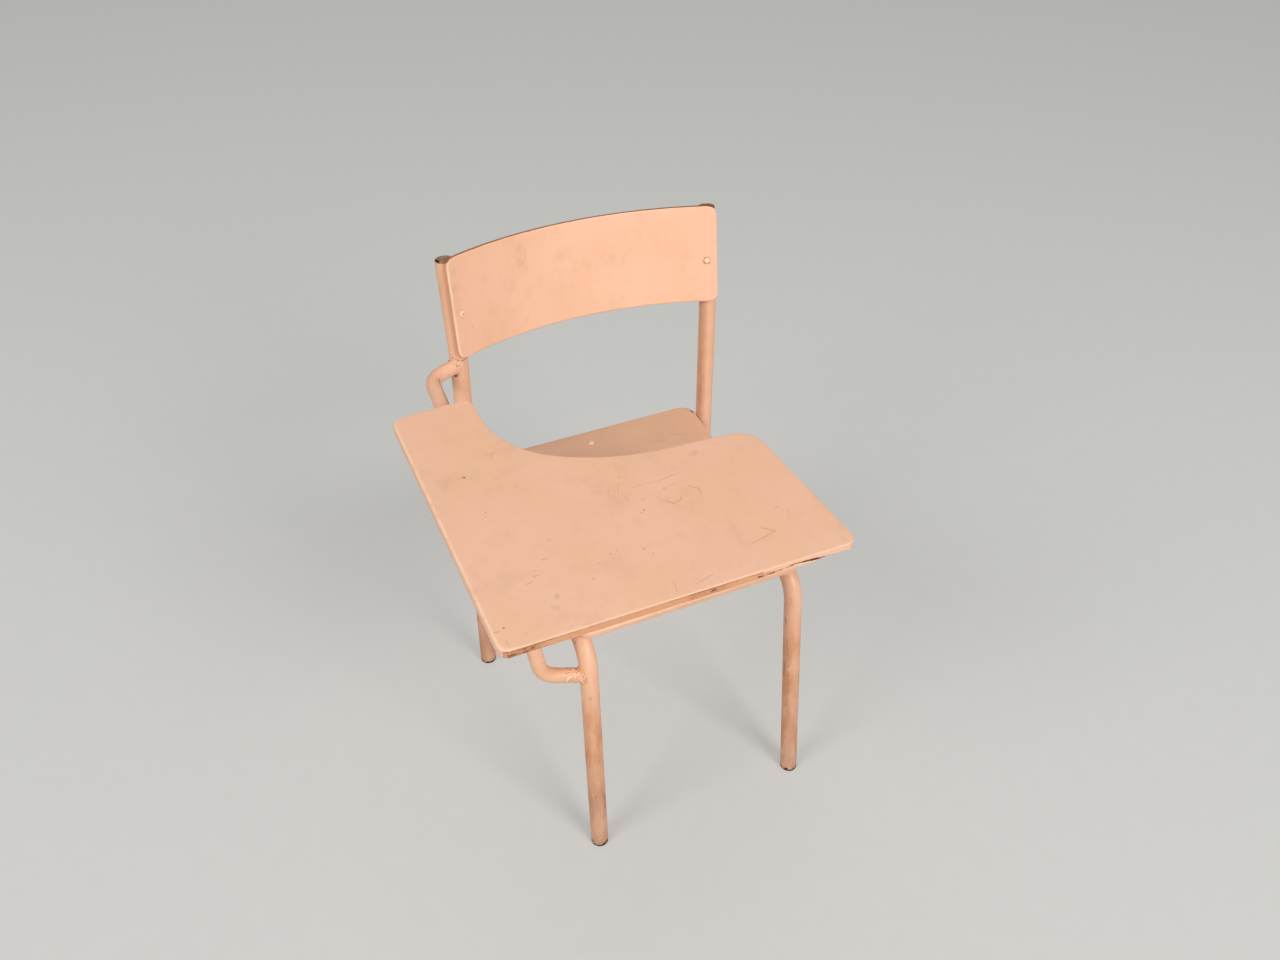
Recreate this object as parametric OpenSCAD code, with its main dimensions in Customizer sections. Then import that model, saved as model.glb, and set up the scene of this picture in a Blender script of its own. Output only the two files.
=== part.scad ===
// School chair with a writing tablet on its right arm.
// A welded frame of bent steel tube carries three painted plywood panels.
// +Z is up, the sitter faces -Y, and the sitter's right hand is towards -X.
// The shapes are drawn about the chair's middle plane (x = 0). Depths count from
// y = 0, the origin of depths, which is seat_nose behind the seat's front edge.
// Everything is then moved so the origin is under the centre of the whole.

/* [Tubes] */
// Outside diameter of the legs, rails and rear bar
tube_d = 25; // [22:0.5:30]
// Outside diameter of the tablet's support tube and the front bar
arm_tube_d = 20; // [16:0.5:22]
// Wall of every tube
tube_wall = 1.5; // [1:0.1:2.5]
// Bend radius of the front legs, on the tube's centre line
leg_bend_r = 50; // [40:1:58]
// Bend radius of the tablet's support tube, on the tube's centre line
arm_bend_r = 32; // [24:1:36]
// Bend radius of the rear tubes below the backrest
upright_bend_r = 60; // [40:1:90]

/* [Seat] */
// Height of the seat's top face above the floor
seat_h = 398; // [330:1:480]
// Thickness of the seat plywood
seat_t = 10; // [8:0.5:14]
// Distance of the seat's rear edge behind the origin of depths
seat_depth = 377; // [314:1:420]
// Overhang of the seat's front edge in front of the origin of depths
seat_nose = 8; // [0:0.5:12]
// Width of the seat along its front edge
seat_front_w = 330; // [300:1:350]
// Clearance between the seat's side edges and the rear tubes
seat_gap = 0.5; // [0.3:0.1:2]
// Corner radius of the seat, seen from above
seat_corner_r = 20; // [12:1:30]
// Rounding of the seat's front and rear edges
seat_edge_r = 3.5; // [1:0.5:4]
// Distance of the front bar behind the origin of depths
front_bar_y = 75; // [70:1:140]

/* [Front legs] */
// Distance of each leg's top corner inside the seat's side edge
rail_in = 11.4; // [8:0.2:20]
// Distance of the legs' top corner in front of the origin of depths
front_top_out = 4; // [0:0.5:8]
// Outward reach of each front foot past its leg's top corner
front_spread = 6.4; // [0:0.2:15]
// Distance of the front feet in front of the origin of depths
front_foot_out = 56; // [30:1:70]
// Gap between each rail and the rear tube beside it, at the rear bar
rail_clear = 5.5; // [3:0.2:20]

/* [Rear legs] */
// Distance of the uprights from the middle plane, from their bend up
upright_x = 190.5; // [186:0.5:229]
// Outward reach of each rear foot past its upright
rear_spread = 8.2; // [4:0.1:20]
// Distance of the rear feet in front of the seat's rear edge
rear_foot_in = 40; // [32:1:52]
// Distance of the uprights' bend in front of the seat's rear edge
upright_in = 21; // [15:1:27]
// Height of the uprights' bend above the axis of the tablet's support tube
upright_bend_over = 15; // [15:1:50]
// Length of the uprights above their bend
upright_len = 135; // [110:1:150]
// Backward lean of the uprights above their bend, in degrees
back_lean = 9.5; // [4:0.5:14]

/* [Backrest] */
// Height of the backrest panel
back_h = 142; // [120:1:160]
// Reach of the backrest panel past each upright's axis, straight across its ends
back_reach = 4.5; // [0:0.5:10]
// Thickness of the backrest plywood
back_t = 8.5; // [7:0.5:11]
// Radius of the backrest's concave front face
back_r = 397; // [340:1:600]
// Height of the panel's lower edge above the uprights' bend
back_lift = 2; // [0:0.5:8]
// Corner radius of the backrest panel
back_corner_r = 10; // [4:1:20]
// Rounding of the panel's upper and lower edges
back_edge_r = 3; // [1:0.5:3.5]
// Height of the rivets above the panel's lower edge
back_rivet_lift = 63; // [40:1:80]

/* [Tablet] */
// Height of the writing surface above the seat
tablet_rise = 216; // [180:1:250]
// Thickness of the tablet plywood
tablet_t = 12; // [10:0.5:16]
// Reach of the tablet's outer edge past the right upright's axis
tablet_reach = 124; // [105:0.5:140]
// Length of the tablet along its outer edge
tablet_len = 413; // [380:1:440]
// Distance of the arm's rear edge behind the origin of depths
arm_rear_y = 241; // [220:1:260]
// Slant of the arm's rear edge, in degrees
arm_slant = 3.5; // [0:0.5:6]
// Width of the arm at its rear end
arm_w = 105; // [80:0.5:120]
// Straight length of the arm's inner edge, from its rear edge
arm_straight = 39; // [30:1:60]
// Radius of the first part of the arm's inner curve
arm_curve_r = 125; // [100:1:140]
// Sweep of the first part of the arm's inner curve, in degrees
arm_curve_sweep = 58.5; // [40:0.5:70]
// Radius of the second part of the inner curve, along the desk's rear edge
desk_curve_r = 269; // [220:1:300]
// Slant of the desk's straight rear edge, in degrees
rear_slant = 4; // [0:0.1:6]
// Slant of the desk's front edge, in degrees
front_slant = 0.7; // [0:0.1:3]
// Distance of the desk's inner rear corner past the middle plane
desk_rear_x = 93.5; // [70:0.5:110]
// Distance of the desk's inner front corner past the middle plane
desk_front_x = 106; // [80:0.5:120]
// Radius of the desk's inner rear corner
desk_rear_r = 34; // [15:1:45]
// Radius of the tablet's other corners
tablet_corner_r = 12; // [6:1:20]

/* [Tablet support] */
// Reach of the support tube's rear corner past the right upright's axis
arm_reach = 46.5; // [36:0.5:60]
// Distance of the support tube's rear corner in front of the upright
arm_corner_in = 20; // [10:1:32]
// Further reach of the support tube's front corner past its rear corner
arm_splay = 17; // [5:1:25]
// Distance of the support tube's front corner behind the origin of depths
arm_front_y = 1; // [-10:1:10]
// Inward slant of the support tube's drop, from its front corner to its lower corner
arm_drop_in = 37; // [20:1:45]
// Distance of the support tube's lower corner in front of the origin of depths
arm_low_out = 4; // [0:0.5:8]
// Drop of the support tube's lower corner below the seat
arm_low_drop = 53; // [40:1:70]
// Drop of the support tube's end on the front leg below the seat
arm_end_drop = 75; // [70:1:100]
// Places of the tablet's screws, behind the origin of depths
screw_ys = [60, 125, 190];

/* [Fasteners and ends] */
// Diameter of the rivet heads
rivet_head_d = 10; // [8:0.5:12]
// Height of the rivet heads
rivet_head_h = 2.2; // [1.5:0.1:3]
// Diameter of the rivet shanks
rivet_d = 5; // [4:0.5:6]
// Diameter of the rivets' closed ends
rivet_tail_d = 8; // [7:0.5:10]
// Thickness of the rivets' closed ends
rivet_tail_h = 2; // [1.5:0.1:3]
// Depth of the flat seat under each backrest rivet's head
rivet_seat = 0.1; // [0.1:0.05:0.4]
// Diametral clearance of the rivets and screws in the tubes and panels
hole_gap = 0.3; // [0.2:0.1:0.6]
// Distance of the front seat rivets behind the origin of depths
seat_rivet_y = 120; // [90:1:180]
// Diameter of the tablet's screws
screw_d = 4; // [3:0.5:5]
// Depth of the screws in the tablet
screw_bite = 9; // [6:0.5:9.5]
// Diameter of the screw heads
screw_head_d = 8; // [7:0.5:9]
// Height of the screw heads
screw_head_h = 2.6; // [2:0.1:3]
// Thickness of the glide under each foot
glide_t = 3; // [2:0.5:6]
// Thickness of the cap on each upright
cap_t = 3; // [2:0.5:5]
// Length of the glides' and caps' stems inside the tubes
stem_len = 15; // [10:1:25]
// Diametral clearance of the stems in the tubes
stem_gap = 0.2; // [0.1:0.1:0.6]

/* [Hidden] */
$fn = 64;

RIGHT = -1;
LEFT = 1;
BIG = 2000;
PAST = 5;
// Where a bend meets a straight length, a thin ring laps the joint
LAP = 0.25;
LAP_RISE = 0.02;
LAP_OPEN = 0.05;
// Turn of a tube's seam line away from the plane that it leans in
SEAM = 40;
// Steps in a corner's arc and in the tablet's long curves
CORNER_STEPS = 8;
CURVE_STEPS = 14;
// Half the sweep of the backrest's curve, past where its ends are cut square
BACK_SWEEP = 40;

tube_r = tube_d / 2;
bore_d = tube_d - 2 * tube_wall;
stem_d = bore_d - stem_gap;

// Heights
seat_under = seat_h - seat_t;
rail_h = seat_under - tube_r;
tablet_h = seat_h + tablet_rise;
tablet_under = tablet_h - tablet_t;
arm_h = tablet_under - arm_tube_d / 2;
upright_bend_h = arm_h + upright_bend_over;

// Places of the tubes, from the seat's edges
front_top_x = seat_front_w / 2 - rail_in;
front_foot_x = front_top_x + front_spread;
rear_foot_x = upright_x + rear_spread;
rear_foot_y = seat_depth - rear_foot_in;
upright_y = seat_depth - upright_in;

// Corner points of the tubes, for the sitter's right (side -1) or left (side 1)
function on_line(a, b, h) = a + (b - a) * (h - a.z) / (b.z - a.z);
function front_foot(side) = [side * front_foot_x, -front_foot_out, 0];
function front_top(side) = [side * front_top_x, -front_top_out, rail_h];
function rear_foot(side) = [side * rear_foot_x, rear_foot_y, 0];
function upright_bend(side) = [side * upright_x, upright_y, upright_bend_h];
function upright_top(side) =
    upright_bend(side) + upright_len * [0, sin(back_lean), cos(back_lean)];
function bar_end(side) = on_line(rear_foot(side), upright_bend(side), rail_h);
function rail_rear(side) = bar_end(side) - [side * (tube_d + rail_clear), 0, 0];

function front_path(side) = [
    on_line(front_foot(side), front_top(side), -tube_d),
    front_top(side),
    rail_rear(side)
];
function rear_path(side) = [
    on_line(rear_foot(side), upright_bend(side), -tube_d),
    upright_bend(side),
    upright_top(side)
];

// Rear edge of the seat, which clears the rear tubes
tube_at_seat = on_line(rear_foot(LEFT), upright_bend(LEFT), seat_under);
seat_half_at_tube = tube_at_seat.x - tube_r - seat_gap;
seat_flare = (seat_half_at_tube - seat_front_w / 2) / tube_at_seat.y;
seat_rear_half = seat_front_w / 2 + seat_flare * seat_depth;

// Centre line of each rail, and the ends of the front bar between the rails
function rail_x_at(side, y) =
    front_top(side).x + (rail_rear(side).x - front_top(side).x)
    * (y - front_top(side).y) / (rail_rear(side).y - front_top(side).y);
function front_bar_end(side) = [rail_x_at(side, front_bar_y), front_bar_y, rail_h];

// Support tube under the tablet
arm_rear_x = upright_x + arm_reach;
arm_front_x = arm_rear_x + arm_splay;
arm_path = [
    on_line(rear_foot(RIGHT), upright_bend(RIGHT), arm_h),
    [-arm_rear_x, upright_y - arm_corner_in, arm_h],
    [-arm_front_x, arm_front_y, arm_h],
    [arm_drop_in - arm_front_x, -arm_low_out, seat_h - arm_low_drop],
    on_line(front_foot(RIGHT), front_top(RIGHT), seat_h - arm_end_drop)
];
function arm_x_at(y) =
    arm_path[1].x + (arm_path[2].x - arm_path[1].x)
    * (y - arm_path[1].y) / (arm_path[2].y - arm_path[1].y);

// The backrest rests against the uprights, so its curve's centre follows from them
back_w = 2 * (upright_x + back_reach);
back_centre_y = -sqrt(pow(back_r + back_t + tube_r, 2) - pow(upright_x, 2));
back_rivet_angle = asin(upright_x / (back_r + back_t + tube_r));

// Corner points of the tablet, with y counted from the seat's front edge
tablet_out_x = upright_x + tablet_reach;
arm_inner_x = arm_w - tablet_out_x;
arm_centre = [arm_inner_x + arm_curve_r, arm_rear_y - arm_straight];
arm_curve_end = arm_centre - arm_curve_r * [cos(arm_curve_sweep), sin(arm_curve_sweep)];
desk_centre = arm_curve_end + desk_curve_r * [cos(arm_curve_sweep), sin(arm_curve_sweep)];
desk_curve_end = desk_centre - desk_curve_r * [sin(rear_slant), cos(rear_slant)];
function rear_edge_y(x) = desk_curve_end.y - (x - desk_curve_end.x) * tan(rear_slant);
tablet_front_y = arm_rear_y - tablet_len;
function front_edge_y(x) = tablet_front_y - (x + tablet_out_x) * tan(front_slant);
desk_front = [desk_front_x, front_edge_y(desk_front_x)];
desk_rear = [desk_rear_x, rear_edge_y(desk_rear_x)];

// Where the whole chair is moved to, from its outermost points
foot_lean = (upright_x - rear_foot_x) / upright_bend_h;
reach_left = rear_foot_x + tube_r * norm([1, foot_lean]);
reach_front = corner_centre(desk_rear, desk_front, [-tablet_out_x, tablet_front_y],
    tablet_corner_r).y - tablet_corner_r;
reach_back = upright_y + back_edge_r
    + (back_centre_y + back_r + back_t - back_edge_r) * cos(back_lean)
    + (back_lift + back_h - back_edge_r) * sin(back_lean);
frame_move = [(tablet_out_x - reach_left) / 2, -(reach_front + reach_back) / 2, 0];

// ---- Helpers ----

function unit(v) = v / norm(v);

// Centre of the arc of radius r that rounds corner p between points a and b
function corner_centre(a, p, b, r) =
    let (u = unit(a - p), v = unit(b - p))
    p + unit(u + v) * r / sin(acos(u * v) / 2);

// Length that a rounding of radius r takes from each side of corner p
function corner_take(a, p, b, r) = r / tan(acos(unit(a - p) * unit(b - p)) / 2);

module in_frame() {
    translate(frame_move) children();
}

// Straight round bar of diameter d from p to q
module straight(p, q, d) {
    v = q - p;
    translate(p)
        rotate([0, acos(v.z / norm(v)), atan2(v.y, v.x)])
            rotate([0, 0, SEAM])
                cylinder(h = norm(v), d = d);
}

// Round bar of diameter d bent to radius r, at corner p of the path a, p, b
module bend(a, p, b, r, d) {
    u = unit(p - a);
    w = unit(b - p);
    side = unit(w - u * (u * w));
    centre = p - u * corner_take(a, p, b, r) + side * r;
    up = cross(-side, u);
    multmatrix([
        [-side.x, u.x, up.x, centre.x],
        [-side.y, u.y, up.y, centre.y],
        [-side.z, u.z, up.z, centre.z]
    ])
        rotate_extrude(angle = acos(u * w))
            translate([r, 0])
                circle(d = d);
}

// Round bar along a path of points, bent to radii[i] at its inner points
module bar_along(path, radii, d) {
    last = len(path) - 1;
    take = [
        for (i = [0:last])
            (i == 0 || i == last)
                ? 0
                : corner_take(path[i - 1], path[i], path[i + 1], radii[i - 1])
    ];
    for (i = [0:last - 1]) {
        run = unit(path[i + 1] - path[i]);
        start = path[i] + run * take[i];
        end = path[i + 1] - run * take[i + 1];
        straight(i == 0 ? start : start + run * LAP_OPEN,
            i == last - 1 ? end : end - run * LAP_OPEN, d);
        if (i > 0)
            straight(start - run * LAP, start + run * LAP, d + 2 * LAP_RISE);
        if (i < last - 1)
            straight(end - run * LAP, end + run * LAP, d + 2 * LAP_RISE);
    }
    for (i = [1:1:last - 1])
        bend(path[i - 1], path[i], path[i + 1], radii[i - 1], d);
}

// The same path with both ends carried on by a little, so a bore runs through
function run_past(path) = let (last = len(path) - 1) [
    for (i = [0:last])
        i == 0 ? path[0] + PAST * unit(path[0] - path[1])
        : i == last ? path[last] + PAST * unit(path[last] - path[last - 1])
        : path[i]
];

module tube_along(path, radii, d) {
    difference() {
        bar_along(path, radii, d);
        bar_along(run_past(path), radii, d - 2 * tube_wall);
    }
}

// Everything between two heights
module layer(low, high) {
    translate([-BIG / 2, -BIG / 2, low])
        cube([BIG, BIG, high - low]);
}

// Points along an arc, between two angles
function arc_points(centre, r, from, to, steps) = [
    for (i = [0:steps])
        let (angle = from + (to - from) * i / steps)
        centre + r * [cos(angle), sin(angle)]
];

// Arc that rounds corner p between a and b, on an outline that runs anticlockwise
function corner_arc(a, p, b, r) =
    let (
        u = unit(p - a),
        v = unit(b - p),
        from = atan2(u.y, u.x) - 90
    )
    arc_points(corner_centre(a, p, b, r), r, from, from + acos(u * v), CORNER_STEPS);

module rounded_rectangle(w, h, r) {
    translate([r, 0])
        square([w - 2 * r, h]);
    translate([0, r])
        square([w, h - 2 * r]);
    for (x = [r, w - r], y = [r, h - r])
        translate([x, y])
            circle(r = r);
}

// The leaning frame of the backrest, with z along the uprights
module on_uprights() {
    translate([0, upright_y, upright_bend_h])
        rotate([-back_lean, 0, 0])
            children();
}

// The line of a backrest rivet, with z = 0 on its seat in the panel, +z to the back
module at_back_rivet(side) {
    on_uprights()
        translate([0, back_centre_y, back_lift + back_rivet_lift])
            rotate([0, 0, -side * back_rivet_angle])
                translate([0, back_r + rivet_seat, 0])
                    rotate([-90, 0, 0])
                        children();
}

// Rivet with its head above z = 0 and its closed end below the grip
module rivet(grip) {
    intersection() {
        cylinder(h = rivet_head_h, d = rivet_head_d);
        translate([0, 0, rivet_head_h - dome_r()])
            sphere(r = dome_r());
    }
    translate([0, 0, -grip])
        cylinder(h = grip, d = rivet_d);
    translate([0, 0, -grip - rivet_tail_h])
        cylinder(h = rivet_tail_h, d = rivet_tail_d);
}

// Ball radius that leaves a head with a third of its height at the rim
function dome_r() =
    let (rise = rivet_head_h * 2 / 3)
    (pow(rivet_head_d / 2, 2) + rise * rise) / (2 * rise);

module rivet_hole(grip) {
    translate([0, 0, -grip - PAST])
        cylinder(h = grip + 2 * PAST, d = rivet_d + hole_gap);
}

// ---- Places of the fasteners ----

seat_grip = seat_t + tube_d;
back_grip = back_t - rivet_seat + tube_d;

function seat_rivet_at(side) = [rail_x_at(side, seat_rivet_y), seat_rivet_y, seat_h];
rear_rivet_at = [0, bar_end(LEFT).y, seat_h];

module screw(i) {
    low = arm_h - arm_tube_d / 2;
    translate([arm_x_at(screw_ys[i]), screw_ys[i], low]) {
        cylinder(h = arm_tube_d + screw_bite, d = screw_d);
        translate([0, 0, -screw_head_h])
            cylinder(h = screw_head_h, d = screw_head_d);
    }
}

module screw_holes(d) {
    for (y = screw_ys)
        translate([arm_x_at(y), y, arm_h - tube_d])
            cylinder(h = tube_d + arm_tube_d / 2 + screw_bite, d = d);
}

// ---- Frame ----

module front_leg(side) {
    color("#dba883") in_frame() difference() {
        tube_along(front_path(side), [leg_bend_r], tube_d);
        layer(-BIG, glide_t);
        straight(bar_end(RIGHT), bar_end(LEFT), tube_d);
        translate(seat_rivet_at(side))
            rivet_hole(seat_grip);
    }
}

module rear_leg(side) {
    color("#dba883") in_frame() difference() {
        tube_along(rear_path(side), [upright_bend_r], tube_d);
        layer(-BIG, glide_t);
        at_back_rivet(side)
            translate([0, 0, back_grip])
                rivet_hole(back_grip);
    }
}

module rear_cross_bar() {
    color("#dba883") in_frame() difference() {
        tube_along([bar_end(RIGHT), bar_end(LEFT)], [], tube_d);
        for (side = [RIGHT, LEFT])
            bar_along(rear_path(side), [upright_bend_r], tube_d);
        translate(rear_rivet_at)
            rivet_hole(seat_grip);
    }
}

module front_cross_bar() {
    color("#dba883") in_frame() difference() {
        tube_along([front_bar_end(RIGHT), front_bar_end(LEFT)], [], arm_tube_d);
        for (side = [RIGHT, LEFT])
            bar_along(front_path(side), [leg_bend_r], tube_d);
    }
}

module tablet_support_tube() {
    color("#dba883") in_frame() difference() {
        tube_along(arm_path, [arm_bend_r, arm_bend_r, arm_bend_r], arm_tube_d);
        bar_along(rear_path(RIGHT), [upright_bend_r], tube_d);
        bar_along(front_path(RIGHT), [leg_bend_r], tube_d);
        screw_holes(screw_d + hole_gap);
    }
}

// ---- Panels ----

module seat_outline() {
    front = seat_front_w / 2 - seat_flare * seat_nose;
    corners = [
        [-front, -seat_nose], [front, -seat_nose],
        [seat_rear_half, seat_depth], [-seat_rear_half, seat_depth]
    ];
    polygon([
        for (i = [0:3])
            each corner_arc(corners[(i + 3) % 4], corners[i], corners[(i + 1) % 4],
                seat_corner_r)
    ]);
}

module seat_panel() {
    color("#d9a680") in_frame() difference() {
        intersection() {
            translate([0, 0, seat_under])
                linear_extrude(seat_t)
                    seat_outline();
            translate([-BIG / 2, -seat_nose, seat_under])
                rotate([90, 0, 90])
                    linear_extrude(BIG)
                        rounded_rectangle(seat_depth + seat_nose, seat_t, seat_edge_r);
        }
        for (place = [rear_rivet_at, seat_rivet_at(RIGHT), seat_rivet_at(LEFT)])
            translate(place)
                rivet_hole(seat_grip);
    }
}

module backrest_panel() {
    color("#eabd98") in_frame() difference() {
        on_uprights() intersection() {
            translate([0, back_centre_y, back_lift])
                rotate([0, 0, 90 - BACK_SWEEP])
                    rotate_extrude(angle = 2 * BACK_SWEEP)
                        translate([back_r, 0])
                            rounded_rectangle(back_t, back_h, back_edge_r);
            translate([-back_w / 2, BIG / 2, back_lift])
                rotate([90, 0, 0])
                    linear_extrude(BIG)
                        rounded_rectangle(back_w, back_h, back_corner_r);
        }
        for (side = [RIGHT, LEFT])
            at_back_rivet(side) {
                translate([0, 0, back_grip])
                    rivet_hole(back_grip);
                translate([0, 0, -PAST])
                    cylinder(h = PAST, d = rivet_head_d + hole_gap);
            }
    }
}

module tablet_outline() {
    r = tablet_corner_r;
    outer_front = [-tablet_out_x, tablet_front_y];
    outer_rear = [-tablet_out_x, arm_rear_y];
    inner_rear = [arm_inner_x, arm_rear_y + arm_w * tan(arm_slant)];
    polygon(concat(
        corner_arc(outer_rear, outer_front, desk_front, r),
        corner_arc(outer_front, desk_front, desk_rear, r),
        corner_arc(desk_front, desk_rear, desk_curve_end, desk_rear_r),
        arc_points(desk_centre, desk_curve_r, 270 - rear_slant, 180 + arm_curve_sweep,
            CURVE_STEPS),
        arc_points(arm_centre, arm_curve_r, 180 + arm_curve_sweep, 180, CURVE_STEPS),
        corner_arc([arm_inner_x, arm_centre.y], inner_rear, outer_rear, r),
        corner_arc(inner_rear, outer_rear, outer_front, r)
    ));
}

module writing_tablet() {
    color("#e2b391") in_frame() difference() {
        translate([0, 0, tablet_under])
            linear_extrude(tablet_t)
                tablet_outline();
        screw_holes(screw_d);
    }
}

// ---- Fasteners ----

module seat_rivet(place) {
    color("#ecd3b4") in_frame() translate(place) rivet(seat_grip);
}

module backrest_rivet(side) {
    color("#ecd3b4") in_frame() at_back_rivet(side) mirror([0, 0, 1]) rivet(back_grip);
}

module tablet_screw(i) {
    color("#b9b2a6") in_frame() screw(i);
}

// ---- Caps and glides ----

module upright_cap(side) {
    color("#a9805f") in_frame() on_uprights() translate([side * upright_x, 0, upright_len]) {
        cylinder(h = cap_t, d = tube_d);
        translate([0, 0, -stem_len])
            cylinder(h = stem_len, d = stem_d);
    }
}

// Glide at the foot of a leg that runs from foot towards top
module glide(foot, top) {
    low = on_line(foot, top, -tube_d);
    high = on_line(foot, top, glide_t + stem_len);
    color("#2b2826") in_frame() {
        intersection() {
            straight(low, high, tube_d);
            layer(0, glide_t);
        }
        difference() {
            straight(foot, high, stem_d);
            layer(-BIG, glide_t);
        }
    }
}

module front_leg_right() front_leg(RIGHT);
module front_leg_left() front_leg(LEFT);
module rear_leg_right() rear_leg(RIGHT);
module rear_leg_left() rear_leg(LEFT);
module seat_rivet_rear() seat_rivet(rear_rivet_at);
module seat_rivet_right() seat_rivet(seat_rivet_at(RIGHT));
module seat_rivet_left() seat_rivet(seat_rivet_at(LEFT));
module backrest_rivet_right() backrest_rivet(RIGHT);
module backrest_rivet_left() backrest_rivet(LEFT);
module tablet_screw_front() tablet_screw(0);
module tablet_screw_middle() tablet_screw(1);
module tablet_screw_rear() tablet_screw(2);
module upright_cap_right() upright_cap(RIGHT);
module upright_cap_left() upright_cap(LEFT);
module glide_front_right() glide(front_foot(RIGHT), front_top(RIGHT));
module glide_front_left() glide(front_foot(LEFT), front_top(LEFT));
module glide_rear_right() glide(rear_foot(RIGHT), upright_bend(RIGHT));
module glide_rear_left() glide(rear_foot(LEFT), upright_bend(LEFT));

front_leg_right();
front_leg_left();
rear_leg_right();
rear_leg_left();
rear_cross_bar();
front_cross_bar();
tablet_support_tube();
seat_panel();
backrest_panel();
writing_tablet();
seat_rivet_rear();
seat_rivet_right();
seat_rivet_left();
backrest_rivet_right();
backrest_rivet_left();
tablet_screw_front();
tablet_screw_middle();
tablet_screw_rear();
upright_cap_right();
upright_cap_left();
glide_front_right();
glide_front_left();
glide_rear_right();
glide_rear_left();
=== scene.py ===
# %% [markdown]
# # A school chair with a writing tablet, in worn pink paint
#
# The frame is welded from bent steel tube. A flat seat, a curved backrest and a writing tablet
# of plywood are riveted and screwed to it, and everything was painted in one salmon pink.
# Years of use have scratched the paint, dirtied the legs and peeled the tablet's front edge.
#
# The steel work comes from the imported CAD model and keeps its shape. The plywood, the rivets,
# the screws, the caps and the glides are made again here with the wear that they have, and
# the weld beads and the lifted flakes of paint are added.

# %% Load the fixed frame
import math

import bmesh
import bpy
import numpy as np
from mathutils import Matrix, Vector, noise


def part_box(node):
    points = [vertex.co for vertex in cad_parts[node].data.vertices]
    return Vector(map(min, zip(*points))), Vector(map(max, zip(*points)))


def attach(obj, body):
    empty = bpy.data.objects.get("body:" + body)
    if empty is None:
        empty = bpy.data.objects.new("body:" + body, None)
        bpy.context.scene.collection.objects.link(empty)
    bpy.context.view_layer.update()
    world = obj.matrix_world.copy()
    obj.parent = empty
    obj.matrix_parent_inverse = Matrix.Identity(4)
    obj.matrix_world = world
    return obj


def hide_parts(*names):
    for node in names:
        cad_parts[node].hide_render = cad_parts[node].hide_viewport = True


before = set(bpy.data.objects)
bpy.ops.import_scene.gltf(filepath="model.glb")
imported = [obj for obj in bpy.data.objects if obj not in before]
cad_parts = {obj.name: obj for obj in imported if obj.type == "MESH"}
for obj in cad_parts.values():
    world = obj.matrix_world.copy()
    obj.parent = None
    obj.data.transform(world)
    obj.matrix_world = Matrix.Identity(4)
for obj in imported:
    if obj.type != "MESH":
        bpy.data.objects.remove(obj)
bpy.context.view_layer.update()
print("CAD nodes:", len(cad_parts))

# %% [markdown]
# ## Places on the chair
#
# The chair is symmetric about the middle of its seat, apart from the tablet. So places are
# given in millimetres: sideways from the seat's middle plane, back from the line where the
# front legs bend up to the seat, and up from the floor. One function turns them into points of
# the shared frame. The bar that joins the rear legs fixes that line, 348.75 mm in front of it.
# The sitter's right is side -1.

# %% Places
MM = 0.001
RIGHT, LEFT = -1, 1
seat_low, seat_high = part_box("seat_panel")
tablet_low, tablet_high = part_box("writing_tablet")
MIDDLE = (seat_low.x + seat_high.x) / 2
bar_low, bar_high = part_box("rear_cross_bar")
BAR_Y = 348.75
FRONT = (bar_low.y + bar_high.y) / 2 - BAR_Y * MM


def place(x, y, z):
    """The point x mm left of the middle plane, y mm behind the front line, z mm up."""
    return Vector((MIDDLE + x * MM, FRONT + y * MM, z * MM))


TUBE_R = 12.5
ARM_R = 10
RAIL_H = 375.5
UPRIGHT_X = 190.5
BACK_LEAN = math.radians(9.5)
FRONT_BAR_Y = 75


def front_foot(side):
    return place(side * 160, -56, 0)


def front_top(side):
    return place(side * 153.6, -4, RAIL_H)


def rear_foot(side):
    return place(side * 198.7, 337, 0)


def upright_bend(side):
    return place(side * UPRIGHT_X, 356, 607)


def along_upright(side, length):
    """The point on an upright's axis that lies length mm above its bend."""
    up = Vector((0, math.sin(BACK_LEAN), math.cos(BACK_LEAN)))
    return upright_bend(side) + up * length * MM


def at_height(foot, top, z):
    """The point at height z, in mm, on the straight line through foot and top."""
    return foot + (top - foot) * (z * MM - foot.z) / (top.z - foot.z)


print("middle plane", round(MIDDLE, 4), "front line", round(FRONT, 4))

# %% [markdown]
# ## Camera, light and floor
#
# The camera stands to the sitter's right and looks steeply down on the tablet. Two big soft
# lamps in front of the chair, one on each side, give each foot two faint shadows and light
# the ends of the panels. A weak one above and behind keeps the back from going dark. The floor
# is plain, pale and matte.

# %% Camera
camera = bpy.data.objects.new("camera", bpy.data.cameras.new("camera"))
bpy.context.collection.objects.link(camera)
camera.data.sensor_width = 36
camera.data.lens = 31.3
CAMERA_AT = place(-502.1, -883.3, 1471.4)
CAMERA_YAW, CAMERA_DOWN, CAMERA_ROLL = 0.444, 0.712, 0.024
camera.matrix_world = (
    Matrix.Translation(CAMERA_AT)
    @ Matrix.Rotation(-CAMERA_YAW, 4, "Z")
    @ Matrix.Rotation(math.pi / 2 - CAMERA_DOWN, 4, "X")
    @ Matrix.Rotation(CAMERA_ROLL, 4, "Z")
)
bpy.context.scene.camera = camera
bpy.context.scene.view_settings.view_transform = "Standard"
print("camera at", [round(c, 3) for c in CAMERA_AT])

# %% Lamps
LAMP_WHITE = (1, 0.985, 0.965)


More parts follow.
